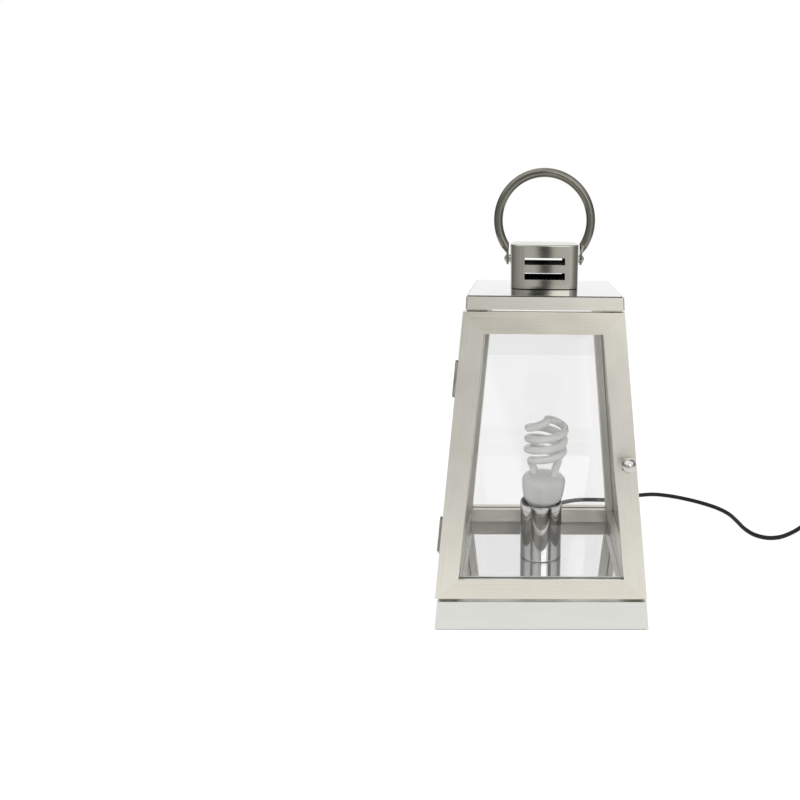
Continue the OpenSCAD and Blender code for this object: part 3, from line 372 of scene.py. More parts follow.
# ---- finishes ----
def finish(name, colour, metallic=0.0, rough=(0.35, 0.45), grain=(1, 1, 1), along=None, depth=0.01,
           tint=0.05, blotch=12.0, coat=0.0, ior=1.5, detail=4.0, marked=None):
    """A material with a grain of that size in millimetres, turned along a direction, and wide soft
    patches. Both vary its colour and roughness, and the grain raises it by depth millimetres. Faces
    that are marked have the colour marked instead."""
    material = bpy.data.materials.new(name)
    material.use_nodes = True
    tree = material.node_tree
    shader = tree.nodes["Principled BSDF"]
    shader.inputs["Metallic"].default_value = metallic
    shader.inputs["IOR"].default_value = ior
    shader.inputs["Coat Weight"].default_value = coat
    shader.inputs["Coat Roughness"].default_value = 0.08
    place = tree.nodes.new("ShaderNodeTexCoord")

    def noise(size, turn=None, fineness=detail):
        mapping = tree.nodes.new("ShaderNodeMapping")
        mapping.vector_type = "TEXTURE"
        mapping.inputs["Scale"].default_value = [s * MM for s in size]
        if turn is not None:
            mapping.inputs["Rotation"].default_value = Vector(turn).to_track_quat("Z", "Y").to_euler()
        texture = tree.nodes.new("ShaderNodeTexNoise")
        texture.inputs["Scale"].default_value = 1
        texture.inputs["Detail"].default_value = fineness
        tree.links.new(place.outputs["Object"], mapping.inputs["Vector"])
        tree.links.new(mapping.outputs["Vector"], texture.inputs["Vector"])
        return texture.outputs["Fac"]

    fine = noise(grain, along)
    wide = noise((blotch, blotch, blotch), None, 2.0)
    both = tree.nodes.new("ShaderNodeMath")
    both.operation = "MULTIPLY_ADD"
    both.inputs[1].default_value = 0.65
    tree.links.new(fine, both.inputs[0])
    share = tree.nodes.new("ShaderNodeMath")
    share.operation = "MULTIPLY"
    share.inputs[1].default_value = 0.35
    tree.links.new(wide, share.inputs[0])
    tree.links.new(share.outputs[0], both.inputs[2])

    ramp = tree.nodes.new("ShaderNodeValToRGB")
    low, high = ramp.color_ramp.elements
    low.position, high.position = 0.3, 0.7
    low.color = [c * (1 - tint) for c in colour] + [1]
    high.color = [min(1, c * (1 + tint)) for c in colour] + [1]
    tree.links.new(both.outputs[0], ramp.inputs["Fac"])
    shown = ramp.outputs["Color"]
    if marked:
        attribute = tree.nodes.new("ShaderNodeAttribute")
        attribute.attribute_name = "marked"
        swap = tree.nodes.new("ShaderNodeMix")
        swap.data_type = "RGBA"
        tree.links.new(attribute.outputs["Fac"], swap.inputs["Factor"])
        tree.links.new(shown, swap.inputs["A"])
        swap.inputs["B"].default_value = (*marked, 1)
        shown = swap.outputs["Result"]
    tree.links.new(shown, shader.inputs["Base Color"])

    polish = tree.nodes.new("ShaderNodeMapRange")
    polish.inputs["From Min"].default_value, polish.inputs["From Max"].default_value = 0.3, 0.7
    polish.inputs["To Min"].default_value, polish.inputs["To Max"].default_value = rough
    tree.links.new(both.outputs[0], polish.inputs["Value"])
    tree.links.new(polish.outputs["Result"], shader.inputs["Roughness"])

    bump = tree.nodes.new("ShaderNodeBump")
    bump.inputs["Strength"].default_value = 1
    bump.inputs["Distance"].default_value = depth * MM
    tree.links.new(fine, bump.inputs["Height"])
    tree.links.new(bump.outputs["Normal"], shader.inputs["Normal"])
    return material


def metal(name, colour, rough, grain, depth, tint, blotch, **more):
    """A finish of bare metal."""
    return finish(name, colour, 1.0, rough, grain, depth=depth, tint=tint, blotch=blotch, **more)


def plain(name, colour, rough, grain, depth, tint, blotch, **more):
    """A finish without metal."""
    return finish(name, colour, 0.0, rough, grain, depth=depth, tint=tint, blotch=blotch, **more)


def dress(piece, material):
    """Gives the piece its one material."""
    piece.data.materials.clear()
    piece.data.materials.append(material)
    return piece


STEEL = (0.74, 0.72, 0.645)
# Painted shade: a darker steel for the faces of posts and rails that look into the lantern
INNER_FACE_SHADE = (0.53, 0.51, 0.455)
DOOR_RAIL_STEEL = (0.72, 0.69, 0.60)
# Painted light: near white on the top face of the door's bottom rail, under the window
WINDOW_SILL_LIGHT = (0.94, 0.93, 0.90)
SHEET_ROUGH = (0.32, 0.42)


def brushed(name, along, colour=STEEL, marked=None):
    """Stainless sheet brushed along a direction."""
    return metal(name, colour, SHEET_ROUGH, (0.5, 0.5, 70), 0.002, 0.07, 25,
                 along=along, detail=6, marked=marked)


def brushed_level(name):
    """Stainless sheet brushed level all round."""
    return metal(name, STEEL, SHEET_ROUGH, (60, 60, 0.5), 0.002, 0.07, 25, detail=6)


# Painted shade: near black on the roof plate's cut edge, for the gap between the roof and the band
ROOF_GAP_SHADE = (0.05, 0.045, 0.035)
satin_steel = metal("satin_steel", (0.70, 0.70, 0.665), (0.30, 0.38), (60, 60, 0.7), 0.0015, 0.04, 30)
mirror_steel = metal("mirror_steel", (0.93, 0.93, 0.93), (0.03, 0.06), (4, 4, 4), 0.0002, 0.02, 40)
roof_steel = metal("roof_steel", (0.77, 0.77, 0.79), (0.09, 0.14), (30, 3, 3), 0.0003, 0.02, 40,
                   marked=ROOF_GAP_SHADE)
# Darker than the walls' steel: painted shade for the dim room that the collar mirrors. Its marked colour,
# near black, is painted shade on the inside, the foot and the walls of the slots
collar_steel = metal("collar_steel", (0.43, 0.42, 0.365), (0.10, 0.16), (40, 40, 0.6), 0.0008, 0.05, 20,
                     marked=(0.02, 0.02, 0.02))
# Darker than the walls' steel: painted shade for the dark room that the handle mirrors
handle_steel = metal("handle_steel", (0.19, 0.185, 0.155), (0.17, 0.22), (8, 8, 8), 0.0001, 0.08, 12)
hinge_steel = metal("hinge_steel", (0.30, 0.29, 0.25), (0.28, 0.40), (0.4, 0.4, 20), 0.001, 0.08, 8)
screw_steel = metal("screw_steel", (0.55, 0.55, 0.53), (0.25, 0.40), (0.5, 0.5, 0.5), 0.001, 0.10, 4)
knob_chrome = metal("knob_chrome", (0.58, 0.57, 0.54), (0.05, 0.09), (1.5, 1.5, 1.5), 0.0001, 0.04, 5)
sleeve_chrome = metal("sleeve_chrome", (0.56, 0.56, 0.55), (0.05, 0.09), (3, 3, 3), 0.0002, 0.02, 15)
contact_brass = metal("contact_brass", (0.70, 0.50, 0.20), (0.22, 0.38), (1, 1, 1), 0.004, 0.12, 6)
pin_brass = metal("pin_brass", (0.72, 0.62, 0.42), (0.14, 0.26), (0.8, 0.8, 6), 0.002, 0.08, 5,
                  along=(0, 1, 0))
cap_aluminium = metal("cap_aluminium", (0.66, 0.66, 0.65), (0.28, 0.42), (3, 3, 0.4), 0.004, 0.08, 6)
black_cover = plain("black_cover", (0.028, 0.028, 0.028), (0.55, 0.72), (0.8, 0.8, 0.8), 0.02, 0.20, 20)
black_catch = plain("black_catch", (0.03, 0.03, 0.03), (0.45, 0.6), (0.5, 0.5, 0.5), 0.01, 0.15, 6)
foot_rubber = plain("foot_rubber", (0.022, 0.022, 0.021), (0.7, 0.85), (0.5, 0.5, 0.5), 0.03, 0.20, 6)
holder_black = plain("holder_black", (0.015, 0.015, 0.015), (0.40, 0.55), (0.6, 0.6, 0.6), 0.003, 0.15, 8)
cord_black = plain("cord_black", (0.007, 0.007, 0.0068), (0.45, 0.60), (0.5, 0.5, 0.5), 0.006, 0.20, 15,
                   ior=1.32)
switch_black = plain("switch_black", (0.02, 0.02, 0.02), (0.38, 0.52), (0.35, 0.35, 0.35), 0.012, 0.15, 12)
plug_black = plain("plug_black", (0.018, 0.018, 0.018), (0.40, 0.55), (0.35, 0.35, 0.35), 0.012, 0.15, 12)
rocker_grey = plain("rocker_grey", (0.09, 0.09, 0.09), (0.30, 0.42), (0.4, 0.4, 0.4), 0.008, 0.10, 5)
tie_grey = plain("tie_grey", (0.11, 0.11, 0.11), (0.55, 0.70), (0.4, 0.4, 2), 0.02, 0.15, 4,
                 along=(0, 1, 0))
bulb_white = plain("bulb_white", (0.83, 0.84, 0.81), (0.26, 0.34), (0.8, 0.8, 0.8), 0.002, 0.02, 12)
tube_white = plain("tube_white", (0.95, 0.955, 0.935), (0.16, 0.24), (1.5, 1.5, 1.5), 0.001, 0.02, 10,
                   coat=0.4)


def make_glass():
    """Clear glass that mirrors little of the room."""
    material = plain("clear_glass", (0.922, 0.925, 0.923), (0.0, 0.015), (60, 60, 60), 0.001, 0.01, 90,
                     ior=1.45)
    shader = material.node_tree.nodes["Principled BSDF"]
    shader.inputs["Transmission Weight"].default_value = 1
    shader.inputs["Specular IOR Level"].default_value = 0.12
    return material


clear_glass = make_glass()


# ---- body of the lantern ----
def up(x_side, y_side):
    """The way that an edge of the leaning walls climbs, from the outside on those sides."""
    return (-x_side * LEAN, -y_side * LEAN, 1)


UP_LEFT, UP_RIGHT = up(-1, -1), up(1, -1)
brushed_posts = {
    "post_front_left": brushed("brushed_post_front_left", UP_LEFT, marked=INNER_FACE_SHADE),
    "post_front_right": brushed("brushed_post_front_right", UP_RIGHT, marked=INNER_FACE_SHADE),
    "post_back_left": brushed("brushed_post_back_left", up(-1, 1), marked=INNER_FACE_SHADE),
    "post_back_right": brushed("brushed_post_back_right", up(1, 1), marked=INNER_FACE_SHADE),
}
brushed_depth = brushed("brushed_side_rails", (0, 1, 0), marked=INNER_FACE_SHADE)
brushed_width = brushed("brushed_back_rails", (1, 0, 0), marked=INNER_FACE_SHADE)


def frame_member(node, radius, material):
    """A post or rail of the walls, with painted shade on the faces that look into the lantern."""
    piece = edged(node, radius)
    mark(piece, lambda c, n: n.x * c.x + n.y * c.y < -0.3 * max(abs(c.x), abs(c.y)))
    dress(piece, material)


for node, material in brushed_posts.items():
    frame_member(node, 0.5, material)
for level in ("bottom", "top"):
    for side in ("left", "right", "back"):
        frame_member(f"{level}_rail_{side}", 0.4, brushed_width if side == "back" else brushed_depth)
door_left_grain = brushed("brushed_left_stile", UP_LEFT)
door_right_grain = brushed("brushed_right_stile", UP_RIGHT)
door_rail_grain = brushed("brushed_door_rails", (1, 0, 0), DOOR_RAIL_STEEL, marked=WINDOW_SILL_LIGHT)


def door_corner(side, level, inset):
    """The outer or the inner end of a mitre of the door, seen from the front."""
    if level < 0:
        z = DOOR_Z0 + inset * DOOR_FOOT_H
    else:
        z = DOOR_Z1 - inset * DOOR_HEAD_H
    return Vector((side * (half(z) + DOOR_LAPS[side] - (STILE_W if inset else MITRE_LAND)), z))


MITRES = [
    (door_corner(side, level, 0),
     (door_corner(side, level, 1) - door_corner(side, level, 0)).normalized())
    for side in (-1, 1) for level in (-1, 1)
]


def on_mitre(*ends):
    """Whether an edge of the door lies on the cut between a stile and a rail."""
    near = 0.05
    for start, way in MITRES:
        offsets = [Vector((p.x, p.z)) - start for p in ends]
        if all(abs(o.x * way.y - o.y * way.x) < near for o in offsets):
            return True
    return False


DOOR_FRAME = {
    "door_stile_left": door_left_grain, "door_stile_right": door_right_grain,
    "door_rail_bottom": door_rail_grain, "door_rail_top": door_rail_grain,
}
WINDOW_Z0 = DOOR_Z0 + DOOR_FOOT_H
for node, material in DOOR_FRAME.items():
    piece = edged(node, 0.8, segments=3, keep=on_mitre)
    # Painted light on the top face of the bottom rail, under the window
    mark(piece, lambda c, n: node == "door_rail_bottom" and n.z > 0.7 and c.z > WINDOW_Z0 - 1)
    dress(piece, material)


def at_corner(a, b, rise, out):
    """Whether an edge climbs by more than rise at a corner that is farther out than out."""
    return abs(a.z - b.z) > rise and min(abs(a.x), abs(a.y), abs(b.x), abs(b.y)) > out


def make_lid():
    """The lid band with soft upright corners."""
    piece = copied("lid_band", "lid_band_rounded")
    pick(piece, "EDGE", lambda a, b: at_corner(a, b, 5, 63))
    bevel(2.0, 4)
    round_sharp(piece, 0.7, 40)
    smooth(piece)
    return stands_for(piece, "lid_band")


def make_roof():
    """The roof plate with rounded corners and painted shade on its cut edge."""
    piece = copied("roof_plate", "roof_plate_rounded")
    pick(piece, "EDGE", lambda a, b: at_corner(a, b, 0.5, 61.8))
    bevel(2.5, 4)
    low, high, out = BAND_Z1 + 0.7, BAND_Z1 + 0.9, 60
    pick(piece, "EDGE", lambda a, b: low < min(a.z, b.z) and max(a.z, b.z) < high
         and min(max(abs(a.x), abs(a.y)), max(abs(b.x), abs(b.y))) > out)
    bevel(0.3, 2)
    # The upright edge faces of the plate take the painted shade
    mark(piece, lambda c, n: abs(n.z) < 0.5 and c.z > BAND_Z1 and max(abs(c.x), abs(c.y)) > 50)
    smooth(piece)
    return stands_for(piece, "roof_plate")


dress(make_lid(), brushed_level("brushed_lid"))
dress(edged("base_skirt", 0.5), satin_steel)
dress(make_roof(), roof_steel)
dress(edged("handle_ring", 0.25, 50), handle_steel)
dress(edged("hinge_body_leaves", 0.12), hinge_steel)
dress(edged("hinge_door_leaves", 0.12), hinge_steel)
dress(edged("cord_tie", 0.2), tie_grey)
dress(edged("plug_body", 0.4), plug_black)
dress(edged("switch_lower", 0.5), switch_black)
dress(edged("switch_upper", 0.8, segments=3), switch_black)
dress(edged("switch_rocker", 0.3), rocker_grey)

# ---- nodes that keep their own mesh ----
KEPT = {
    "mirror_floor": (mirror_steel, "mirror_steel"),
    "bottom_cover": (black_cover, "black_cover"),
    "base_screws": (screw_steel, "screw_steel"),
    "rubber_feet": (foot_rubber, "foot_rubber"),
    "glass_left": (clear_glass, "clear_glass"),
    "glass_right": (clear_glass, "clear_glass"),
    "glass_back": (clear_glass, "clear_glass"),
    "door_glass": (clear_glass, "clear_glass"),
    "handle_rivets": (screw_steel, "screw_steel"),
    "hinge_pins": (hinge_steel, "hinge_steel"),
    "magnet_catch": (black_catch, "black_catch"),
    "door_strike": (screw_steel, "screw_steel"),
    "knob_screw": (screw_steel, "screw_steel"),
    "lampholder_insert": (holder_black, "holder_black"),
    "screw_shell": (contact_brass, "contact_brass"),
    "lampholder_contacts": (contact_brass, "contact_brass"),
    "threaded_nipple": (screw_steel, "screw_steel"),
    "nipple_nut": (screw_steel, "screw_steel"),
    "internal_lead": (cord_black, "cord_black"),
    "lead_clamp": (switch_black, "switch_black"),
    "bulb_contact": (cap_aluminium, "cap_aluminium"),
    "switch_screws": (screw_steel, "screw_steel"),
    "plug_pins": (pin_brass, "pin_brass"),
}
for node, (material, slot) in KEPT.items():
    dress(NODES[node], material)


# ---- collar ----
def collar_outline():
    """Four slightly bowed faces joined by round corners, as points from the front round to the right."""
    face_r, corner_r, corner_at = 228.0, 10.0, 18.69
    spread = math.asin(corner_at / (face_r - corner_r))
    middle = (face_r - corner_r) * math.cos(spread) - corner_at
    quarter = [(face_r * math.sin(a), middle - face_r * math.cos(a))
               for a in (spread * (i / 6 - 1) for i in range(12))]
    quarter += [(corner_at + corner_r * math.sin(a), -corner_at - corner_r * math.cos(a))
                for a in (spread + (math.pi / 2 - 2 * spread) * i / 10 for i in range(10))]
    turns = [(1, 0), (0, 1), (-1, 0), (0, -1)]
    return [(x * c - y * s, x * s + y * c) for c, s in turns for x, y in quarter]


def make_collar():
    """The collar with bowed faces, a rounded rim and punched slots, and painted shade on its inside, its
    foot and the walls of its slots and holes.
    """
    half_w, rim_r, sheet = 29.5, 1.4, 1.0
    inner, ceiling = half_w - sheet, COLLAR_TOP_Z - sheet
    foot_in, foot_h = 0.4, 0.5
    profile = [(half_w - foot_in, ROOF_Z), (half_w - foot_in, ROOF_Z + foot_h - 0.3),
               (half_w, ROOF_Z + foot_h)]
    profile += [(half_w - rim_r * (1 - math.cos(a)), COLLAR_TOP_Z - rim_r * (1 - math.sin(a)))
                for a in (math.pi / 2 * i / 6 for i in range(7))]
    outside = [(x * (1 - foot_in / half_w), y * (1 - foot_in / half_w)) for x, y in collar_outline()]
    piece = turned("slotted_collar", profile, outline=outside)
    inside = [(x * inner / half_w, y * inner / half_w) for x, y in collar_outline()]
    hollow = turned("collar_hollow", [(inner, ROOF_Z - 1), (inner, ceiling - 0.5), (inner - 0.5, ceiling)],
                    outline=inside)
    cut_out(piece, hollow)
    through, rivet_r = 80, 2.0
    for i in range(2):
        bpy.ops.mesh.primitive_cube_add(size=MM, location=(0, 0, (SLOT_Z + i * SLOT_PITCH) * MM),
                                        scale=(SLOT_W, through, SLOT_H))
        cut_out(piece, settle(bpy.context.object))
    bpy.ops.mesh.primitive_cylinder_add(vertices=32, radius=rivet_r * MM, depth=through * MM,
                                        location=(0, 0, PIVOT_Z * MM), rotation=(0, math.pi / 2, 0))
    cut_out(piece, settle(bpy.context.object))
    rim_z = COLLAR_TOP_Z - rim_r
    # Painted shade: near black on the foot and on faces below the rim that look down or into the collar
    mark(piece, lambda c, n: c.z < rim_z and (
        c.z < ROOF_Z + foot_h or n.z < -0.5 or n.x * c.x + n.y * c.y < -0.1))
    smooth(piece, 30)
    return stands_for(piece, "collar")


dress(make_collar(), collar_steel)


# ---- knob ----
def make_knob():
    """A ball on a neck and a small washer, square to the door."""
    neck, steps, flat = 2.6, 20, 2
    start = math.degrees(math.asin(neck / KNOB_R))
    profile = [(3.6, 0.05), (4.0, 0.15), (4.0, 0.7), (3.7, 1.0), (neck, 1.2)]
    for i in range(steps + 1):
        a = math.radians(180 - start - i * (180 - start - flat) / steps)
        profile.append((KNOB_R * math.sin(a), KNOB_REACH + KNOB_R * math.cos(a)))
    piece = turned("ball_knob", profile, 48)
    x = half(KNOB_Z) + DOOR_LAPS[1] - STILE_W / 2 + KNOB_SIDE
    placed(piece, Matrix.Translation(Vector((x, -half(KNOB_Z) - DOOR_PROUD, KNOB_Z)) * MM)
           @ Matrix.Rotation(math.pi / 2 - math.atan(LEAN), 4, "X"))
    smooth(piece, 40)
    return stands_for(piece, "door_knob")


dress(make_knob(), knob_chrome)


# ---- lampholder ----
def make_sleeve():
    """A drawn sleeve with a rolled rim, a groove under its ring and a turned-in foot."""
    r, t, z0, z1 = SLEEVE_R, SLEEVE_T, FLOOR_Z, FLOOR_Z + SLEEVE_H
    bore = 5.06
    profile = [(bore, z0), (r - 2.2, z0), (r - 1.0, z0 + 0.15), (r - 0.25, z0 + 0.7), (r, z0 + 1.6),
               (r, z1 - 6.4), (r - 0.4, z1 - 6.2), (r - 0.4, z1 - 5.6), (r, z1 - 5.4),
               (r, z1 - 1.6), (r - 0.05, z1 - 0.7), (r - 0.35, z1 - 0.15), (r - 0.7, z1),
               (r - t + 0.1, z1 - 0.2), (r - t, z1 - 0.8), (r - t, z0 + t + 0.6), (r - t - 0.6, z0 + t),
               (bore, z0 + t)]
    piece = turned("lampholder_shell", profile, 96, closed=True)
    smooth(piece, 40)
    return stands_for(piece, "lampholder_sleeve")


dress(make_sleeve(), sleeve_chrome)


# ---- bulb ----
def lean_bulb(piece):
    """Tips a piece of the bulb about the foot of its cap."""
    foot = Vector((0, 0, CAP_Z)) * MM
    return placed(piece, Matrix.Translation(foot) @ Matrix.Rotation(math.radians(BULB_LEAN), 4, "Y")
                  @ Matrix.Translation(-foot))


def make_housing():
    """The bulb's housing, which swells from the cap to its round shoulder."""
    r, h, z = HOUSING_R, HOUSING_H, CAP_Z + CAP_H
    profile = [(12.6, 0.05), (13.2, 3), (14, 5), (r - 5.5, 7.1), (r - 3.8, 8.9), (r - 2.1, 11.4),
               (r - 1.4, 14.4), (r - 0.8, 18.3), (r - 0.25, 22.8), (r, h - 7.2), (r, h - 5.7),
               (r - 0.6, h - 3.2), (r - 2, h - 1.3), (r - 4.2, h - 0.3), (r - 7, h), (6, h)]
    piece = turned("bulb_body", [(a, b + z) for a, b in profile], 72)
    lean_bulb(piece)
    smooth(piece, 50)
    return stands_for(piece, "bulb_housing")


def spiral_path():
    """Up one leg and strand of the spiral, over the bridge at the top and down the other."""
    foot = CAP_Z + CAP_H + HOUSING_H
    top = CAP_Z + CAP_H + HOUSING_H + SPIRAL_H
    front, sink, sag = 270, 1.5, 2.6

    def radius(u):
        return SPIRAL_R * math.sin(math.pi / 2 * min(1, u / 0.22)) - SPIRAL_NIP * ease((u - 1.15) / 0.6)

    def strand(u):
        a = math.radians(front - 360 * u)
        r = radius(u)
        z = top - SPIRAL_PITCH * u - SPIRAL_DROP * ease(u / 0.25)
        return Vector((r * math.cos(a), r * math.sin(a), z))

    def leg(v):
        quarter = math.pi / 2 * v
        a = math.radians(front - 360 * SPIRAL_LEG_START - SPIRAL_LEG_TURN * math.sin(quarter))
        r = radius(SPIRAL_LEG_START) + (SPIRAL_LEG_R - radius(SPIRAL_LEG_START)) * ease(v)
        z0 = top - SPIRAL_PITCH * SPIRAL_LEG_START - SPIRAL_DROP
        z1 = foot + sink
        z = z0 + (z1 - z0) * (1 - math.cos(quarter)) - sag * math.sin(quarter) * math.cos(quarter)
        return Vector((r * math.cos(a), r * math.sin(a), z))

    steps, leg_steps = 60, 16
    half_way = [strand(i / steps) for i in range(1, round(steps * SPIRAL_LEG_START) + 1)]
    half_way += [leg(i / leg_steps) for i in range(1, leg_steps + 1)]
    half_way.append(leg(1) - Vector((0, 0, sink)))
    return list(reversed(half_way)) + [strand(0)] + [Vector((-p.x, -p.y, p.z)) for p in half_way]


def make_spiral():
    """The bulb's glass tube."""
    piece = tube("bulb_tube", spiral_path(), SPIRAL_TUBE_R, 24)
    lean_bulb(piece)
    smooth(piece, 50)
    return stands_for(piece, "bulb_spiral")


def make_cap():
    """The bulb's screw cap, with the thread as rings."""
    z, rings, thread_z, thread_pitch = CAP_Z, 6, 4.6, 3
    profile = [(5.2, 0.02), (7.2, 0.1), (CAP_R - 0.8, 3.2), (CAP_R - 0.75, 3.8)]
    for i in range(rings):
        base = thread_z + thread_pitch * i
        profile += [(CAP_R - 0.3, base - 0.45), (CAP_R, base), (CAP_R - 0.1, base + 0.5),
                    (CAP_R - 0.7, base + 1.5)]
    profile += [(CAP_R - 0.1, CAP_H - 1.6), (CAP_R, CAP_H - 1.2), (CAP_R, CAP_H - 0.05), (6, CAP_H)]
    piece = turned("bulb_screw_cap", [(a, b + z) for a, b in profile], 64)
    lean_bulb(piece)
    smooth(piece, 60)
    return stands_for(piece, "bulb_cap")


dress(make_housing(), bulb_white)
dress(make_spiral(), tube_white)
dress(make_cap(), cap_aluminium)


# ---- lead ----
def make_boot():
    """A ribbed strain relief that tapers along the lead."""
    neck, flange, seat = 4.2, 6.0, 0.77
    bore = LEAD_R + 0.06
    profile = [(bore, -4.0), (flange, -4.0), (flange, -2.6), (neck, -2.4), (neck, seat - 0.1),
               (flange, seat), (flange, seat + 1.2), (flange - 0.4, seat + 1.6), (neck + 0.4, seat + 1.7)]
    ribs, rib_z, rib_pitch = 5, 4.2, 3.3
    for i in range(ribs):
        z = rib_z + i * rib_pitch
        r = neck + 0.4 - (neck - LEAD_R - 0.5) * z / BOOT_L
        profile += [(r, z), (r - 0.75, z + 0.35), (r - 0.8, z + 1.05), (r - 0.12, z + 1.4)]
    profile += [(LEAD_R + 1.0, BOOT_L - 0.4), (LEAD_R + 0.7, BOOT_L), (bore, BOOT_L)]
    piece = turned("lead_boot", profile, 40, closed=True)
    placed(piece, Matrix.Translation(Vector((0, EXIT_Y, EXIT_H)) * MM)
           @ Matrix.Rotation(-math.pi / 2, 4, "X"))
    smooth(piece, 40)
    return stands_for(piece, "cord_boot")


dress(make_boot(), cord_black)
dress(stands_for(lead_run, "cord_run"), cord_black)
dress(stands_for(lead_tail, "cord_link", "cord_coil"), cord_black)
for lead in (lead_run, lead_tail):
    smooth(lead, 50)


# ---- stage and light ----
# Brightness that metal and glass see, as steps of (degrees, level), where 1 is the white of the
# backdrop. In front of the lamp it goes by height, and SIDE_LEVELS is its change with the angle from
# the door, which fades out towards the ceiling. Behind the lamp it goes by the angle from the door.
FRONT_LEVELS = [(-26, 1.1), (-16, 0.86), (0, 0.84), (8, 0.74), (18, 0.78), (26, 0.9), (38, 1.25)]
SIDE_LEVELS = [
    (-100, 0.35), (-60, 0.6), (-51, 0.5), (-44, 0.9), (-40, 1.0), (-38.5, 0.15), (-33.5, 0.15),
    (-32, 1.0), (-20, 0.72), (-13, 0.6), (-8, 1.0), (30, 1.05), (46, 1.15), (62, 0.7), (95, 0.35),
]
BACK_LEVELS = [(90, 0.3), (130, 0.25), (148, 0.5), (156, 1.0), (180, 1.0)]
# Where the front ends towards the sides, and where the ceiling begins
FRONT_SHARE = [(-110, 0), (-95, 1), (95, 1), (110, 0)]
LOW_SHARE = [(20, 1), (32, 0)]
# The dark upright near the middle of the front, in degrees: the height of its foot, the angle of its
# centre and half its width there, how both change with height, and how dark it is
UPRIGHT_FOOT, UPRIGHT_AT, UPRIGHT_HALF = -6.0, 1.9, 2.4
UPRIGHT_LEAN, UPRIGHT_SPREAD, UPRIGHT_LEAST, UPRIGHT_SHADE = -0.19, 0.14, 1.0, 0.93
# How much more of the studio's light a matt surface gets
DIFFUSE_GAIN = 0.85


def calculator(tree):
    """A maker of math nodes whose inputs are numbers or sockets."""
    def calc(operation, *values, clamp=False):
        node = tree.nodes.new("ShaderNodeMath")
        node.operation = operation
        node.use_clamp = clamp
        for socket, value in zip(node.inputs, values):
            if isinstance(value, (int, float)):
                socket.default_value = value
            else:
                tree.links.new(value, socket)
        return node.outputs[0]
    return calc


def make_floor():
    """A white table. It glows where the camera looks at it, straight or by a mirror, but not under
    the base, and keeps a faint shadow."""
    bpy.ops.object.select_all(action="DESELECT")
    bpy.ops.mesh.primitive_plane_add(size=1, location=(0.1, 0.3, 0))
    floor = bpy.context.object
    floor.name = "floor"
    floor.scale = (2.0, 1.6, 1)
    settle(floor)
    material = bpy.data.materials.new("floor_white")
    material.use_nodes = True
    tree = material.node_tree
    tree.nodes.clear()
    new, link, calc = tree.nodes.new, tree.links.new, calculator(tree)
    place, split = new("ShaderNodeTexCoord"), new("ShaderNodeSeparateXYZ")
    link(place.outputs["Object"], split.inputs[0])
    across = calc("MAXIMUM", calc("ABSOLUTE", split.outputs[0]), calc("ABSOLUTE", split.outputs[1]))
    dark_to, glow_from = 91.6, 92.4
    edge = new("ShaderNodeMapRange")
    edge.inputs["From Min"].default_value = dark_to * MM
    edge.inputs["From Max"].default_value = glow_from * MM
    link(across, edge.inputs["Value"])
    ray = new("ShaderNodeLightPath")
    seen = calc("MAXIMUM", ray.outputs["Is Camera Ray"],
                calc("MAXIMUM", ray.outputs["Is Glossy Ray"], ray.outputs["Is Transmission Ray"]))
    share = calc("MULTIPLY", calc("MULTIPLY", seen, edge.outputs["Result"]), 0.9)
    paper, glow = new("ShaderNodeBsdfDiffuse"), new("ShaderNodeEmission")
    paper.inputs["Color"].default_value = (0.9, 0.9, 0.9, 1)
    glow.inputs["Strength"].default_value = 1.05
    mix, out = new("ShaderNodeMixShader"), new("ShaderNodeOutputMaterial")
    link(share, mix.inputs["Fac"])
    link(paper.outputs[0], mix.inputs[1])
    link(glow.outputs[0], mix.inputs[2])
    link(mix.outputs[0], out.inputs["Surface"])
    floor.data.materials.append(material)


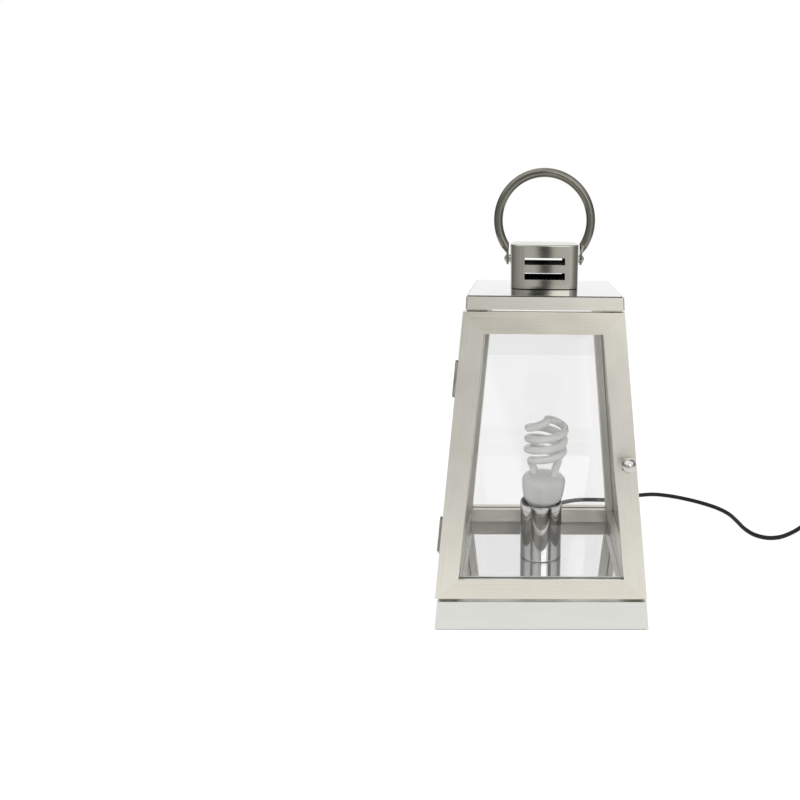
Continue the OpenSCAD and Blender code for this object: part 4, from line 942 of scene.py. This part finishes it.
def make_world():
    """A white studio for the camera. Metal and glass see its ceiling, the dim room in front of the
    lamp with two dark uprights, its dark sides, and the white backdrop behind the lamp."""
    world = bpy.data.worlds.new("studio")
    bpy.context.scene.world = world
    world.use_nodes = True
    tree = world.node_tree
    tree.nodes.clear()
    new, link, calc = tree.nodes.new, tree.links.new, calculator(tree)

    def levels(value, low, high, steps):
        """A level that changes with a value, from (value, level) steps. Levels go up to 2."""
        ramp = new("ShaderNodeValToRGB")
        elements = ramp.color_ramp.elements
        while len(elements) < len(steps):
            elements.new(0.5)
        for element, (at, level) in zip(elements, steps):
            element.position = (at - low) / (high - low)
            element.color = (level / 2, level / 2, level / 2, 1)
        link(calc("DIVIDE", calc("SUBTRACT", value, low), high - low), ramp.inputs["Fac"])
        return calc("MULTIPLY", ramp.outputs["Color"], 2.0)

    place, split = new("ShaderNodeTexCoord"), new("ShaderNodeSeparateXYZ")
    link(place.outputs["Generated"], split.inputs[0])
    x, y, z = split.outputs
    azimuth = calc("MULTIPLY", calc("ARCTAN2", x, calc("MULTIPLY", y, -1.0)), 180 / math.pi)
    height = calc("MULTIPLY", calc("ARCSINE", z), 180 / math.pi)

    room = levels(height, -90.0, 90.0, FRONT_LEVELS)
    sides = levels(azimuth, -180.0, 180.0, SIDE_LEVELS)
    front = levels(azimuth, -180.0, 180.0, FRONT_SHARE)
    low = levels(height, -90.0, 90.0, LOW_SHARE)
    rise = calc("ADD", height, -UPRIGHT_FOOT)
    centre = calc("MULTIPLY_ADD", rise, UPRIGHT_LEAN, UPRIGHT_AT)
    half_width = calc("MULTIPLY_ADD", rise, UPRIGHT_SPREAD, UPRIGHT_HALF)
    half_width = calc("MAXIMUM", half_width, UPRIGHT_LEAST)
    away = calc("ABSOLUTE", calc("SUBTRACT", azimuth, centre))
    upright = calc("SUBTRACT", 1.0, calc("SUBTRACT", away, half_width, clamp=True))
    shade = calc("SUBTRACT", 1.0, calc("MULTIPLY", calc("MULTIPLY", upright, low), UPRIGHT_SHADE))
    tone = calc("ADD", 1.0, calc("MULTIPLY", low, calc("SUBTRACT", sides, 1.0)))
    seen_front = calc("MULTIPLY", calc("MULTIPLY", room, tone), shade)
    behind = levels(calc("ABSOLUTE", azimuth), 0.0, 180.0, BACK_LEVELS)
    level = calc("ADD", behind, calc("MULTIPLY", front, calc("SUBTRACT", seen_front, behind)))
    ray = new("ShaderNodeLightPath")
    soft = calc("MINIMUM", ray.outputs["Diffuse Depth"], 1.0)
    level = calc("MULTIPLY", level, calc("MULTIPLY_ADD", soft, DIFFUSE_GAIN, 1.0))
    camera = ray.outputs["Is Camera Ray"]
    level = calc("ADD", camera, calc("MULTIPLY", calc("SUBTRACT", 1.0, camera), level))
    background, output = new("ShaderNodeBackground"), new("ShaderNodeOutputWorld")
    background.inputs["Color"].default_value = (1, 1, 1, 1)
    link(level, background.inputs["Strength"])
    link(background.outputs[0], output.inputs["Surface"])


def area_lamp(name, place, aim, width, height, level):
    """A soft box of that brightness, where 1 is the white of the room."""
    data = bpy.data.lights.new(name, "AREA")
    data.shape = "RECTANGLE"
    data.size, data.size_y = width, height
    data.energy = level * math.pi * width * height
    lamp = bpy.data.objects.new(name, data)
    bpy.context.collection.objects.link(lamp)
    lamp.location = place
    lamp.rotation_euler = (Vector(aim) - Vector(place)).to_track_quat("-Z", "Y").to_euler()


make_floor()
make_world()
area_lamp("key_box", (0.42, -1.30, 0.78), (0, 0, 0.12), width=0.7, height=0.75, level=1.3)
area_lamp("top_box", (-0.5, 0.1, 1.6), (0, 0, 0.1), width=0.9, height=0.9, level=0.7)

view = bpy.context.scene.view_settings
view.view_transform = "Standard"

bpy.context.view_layer.update()
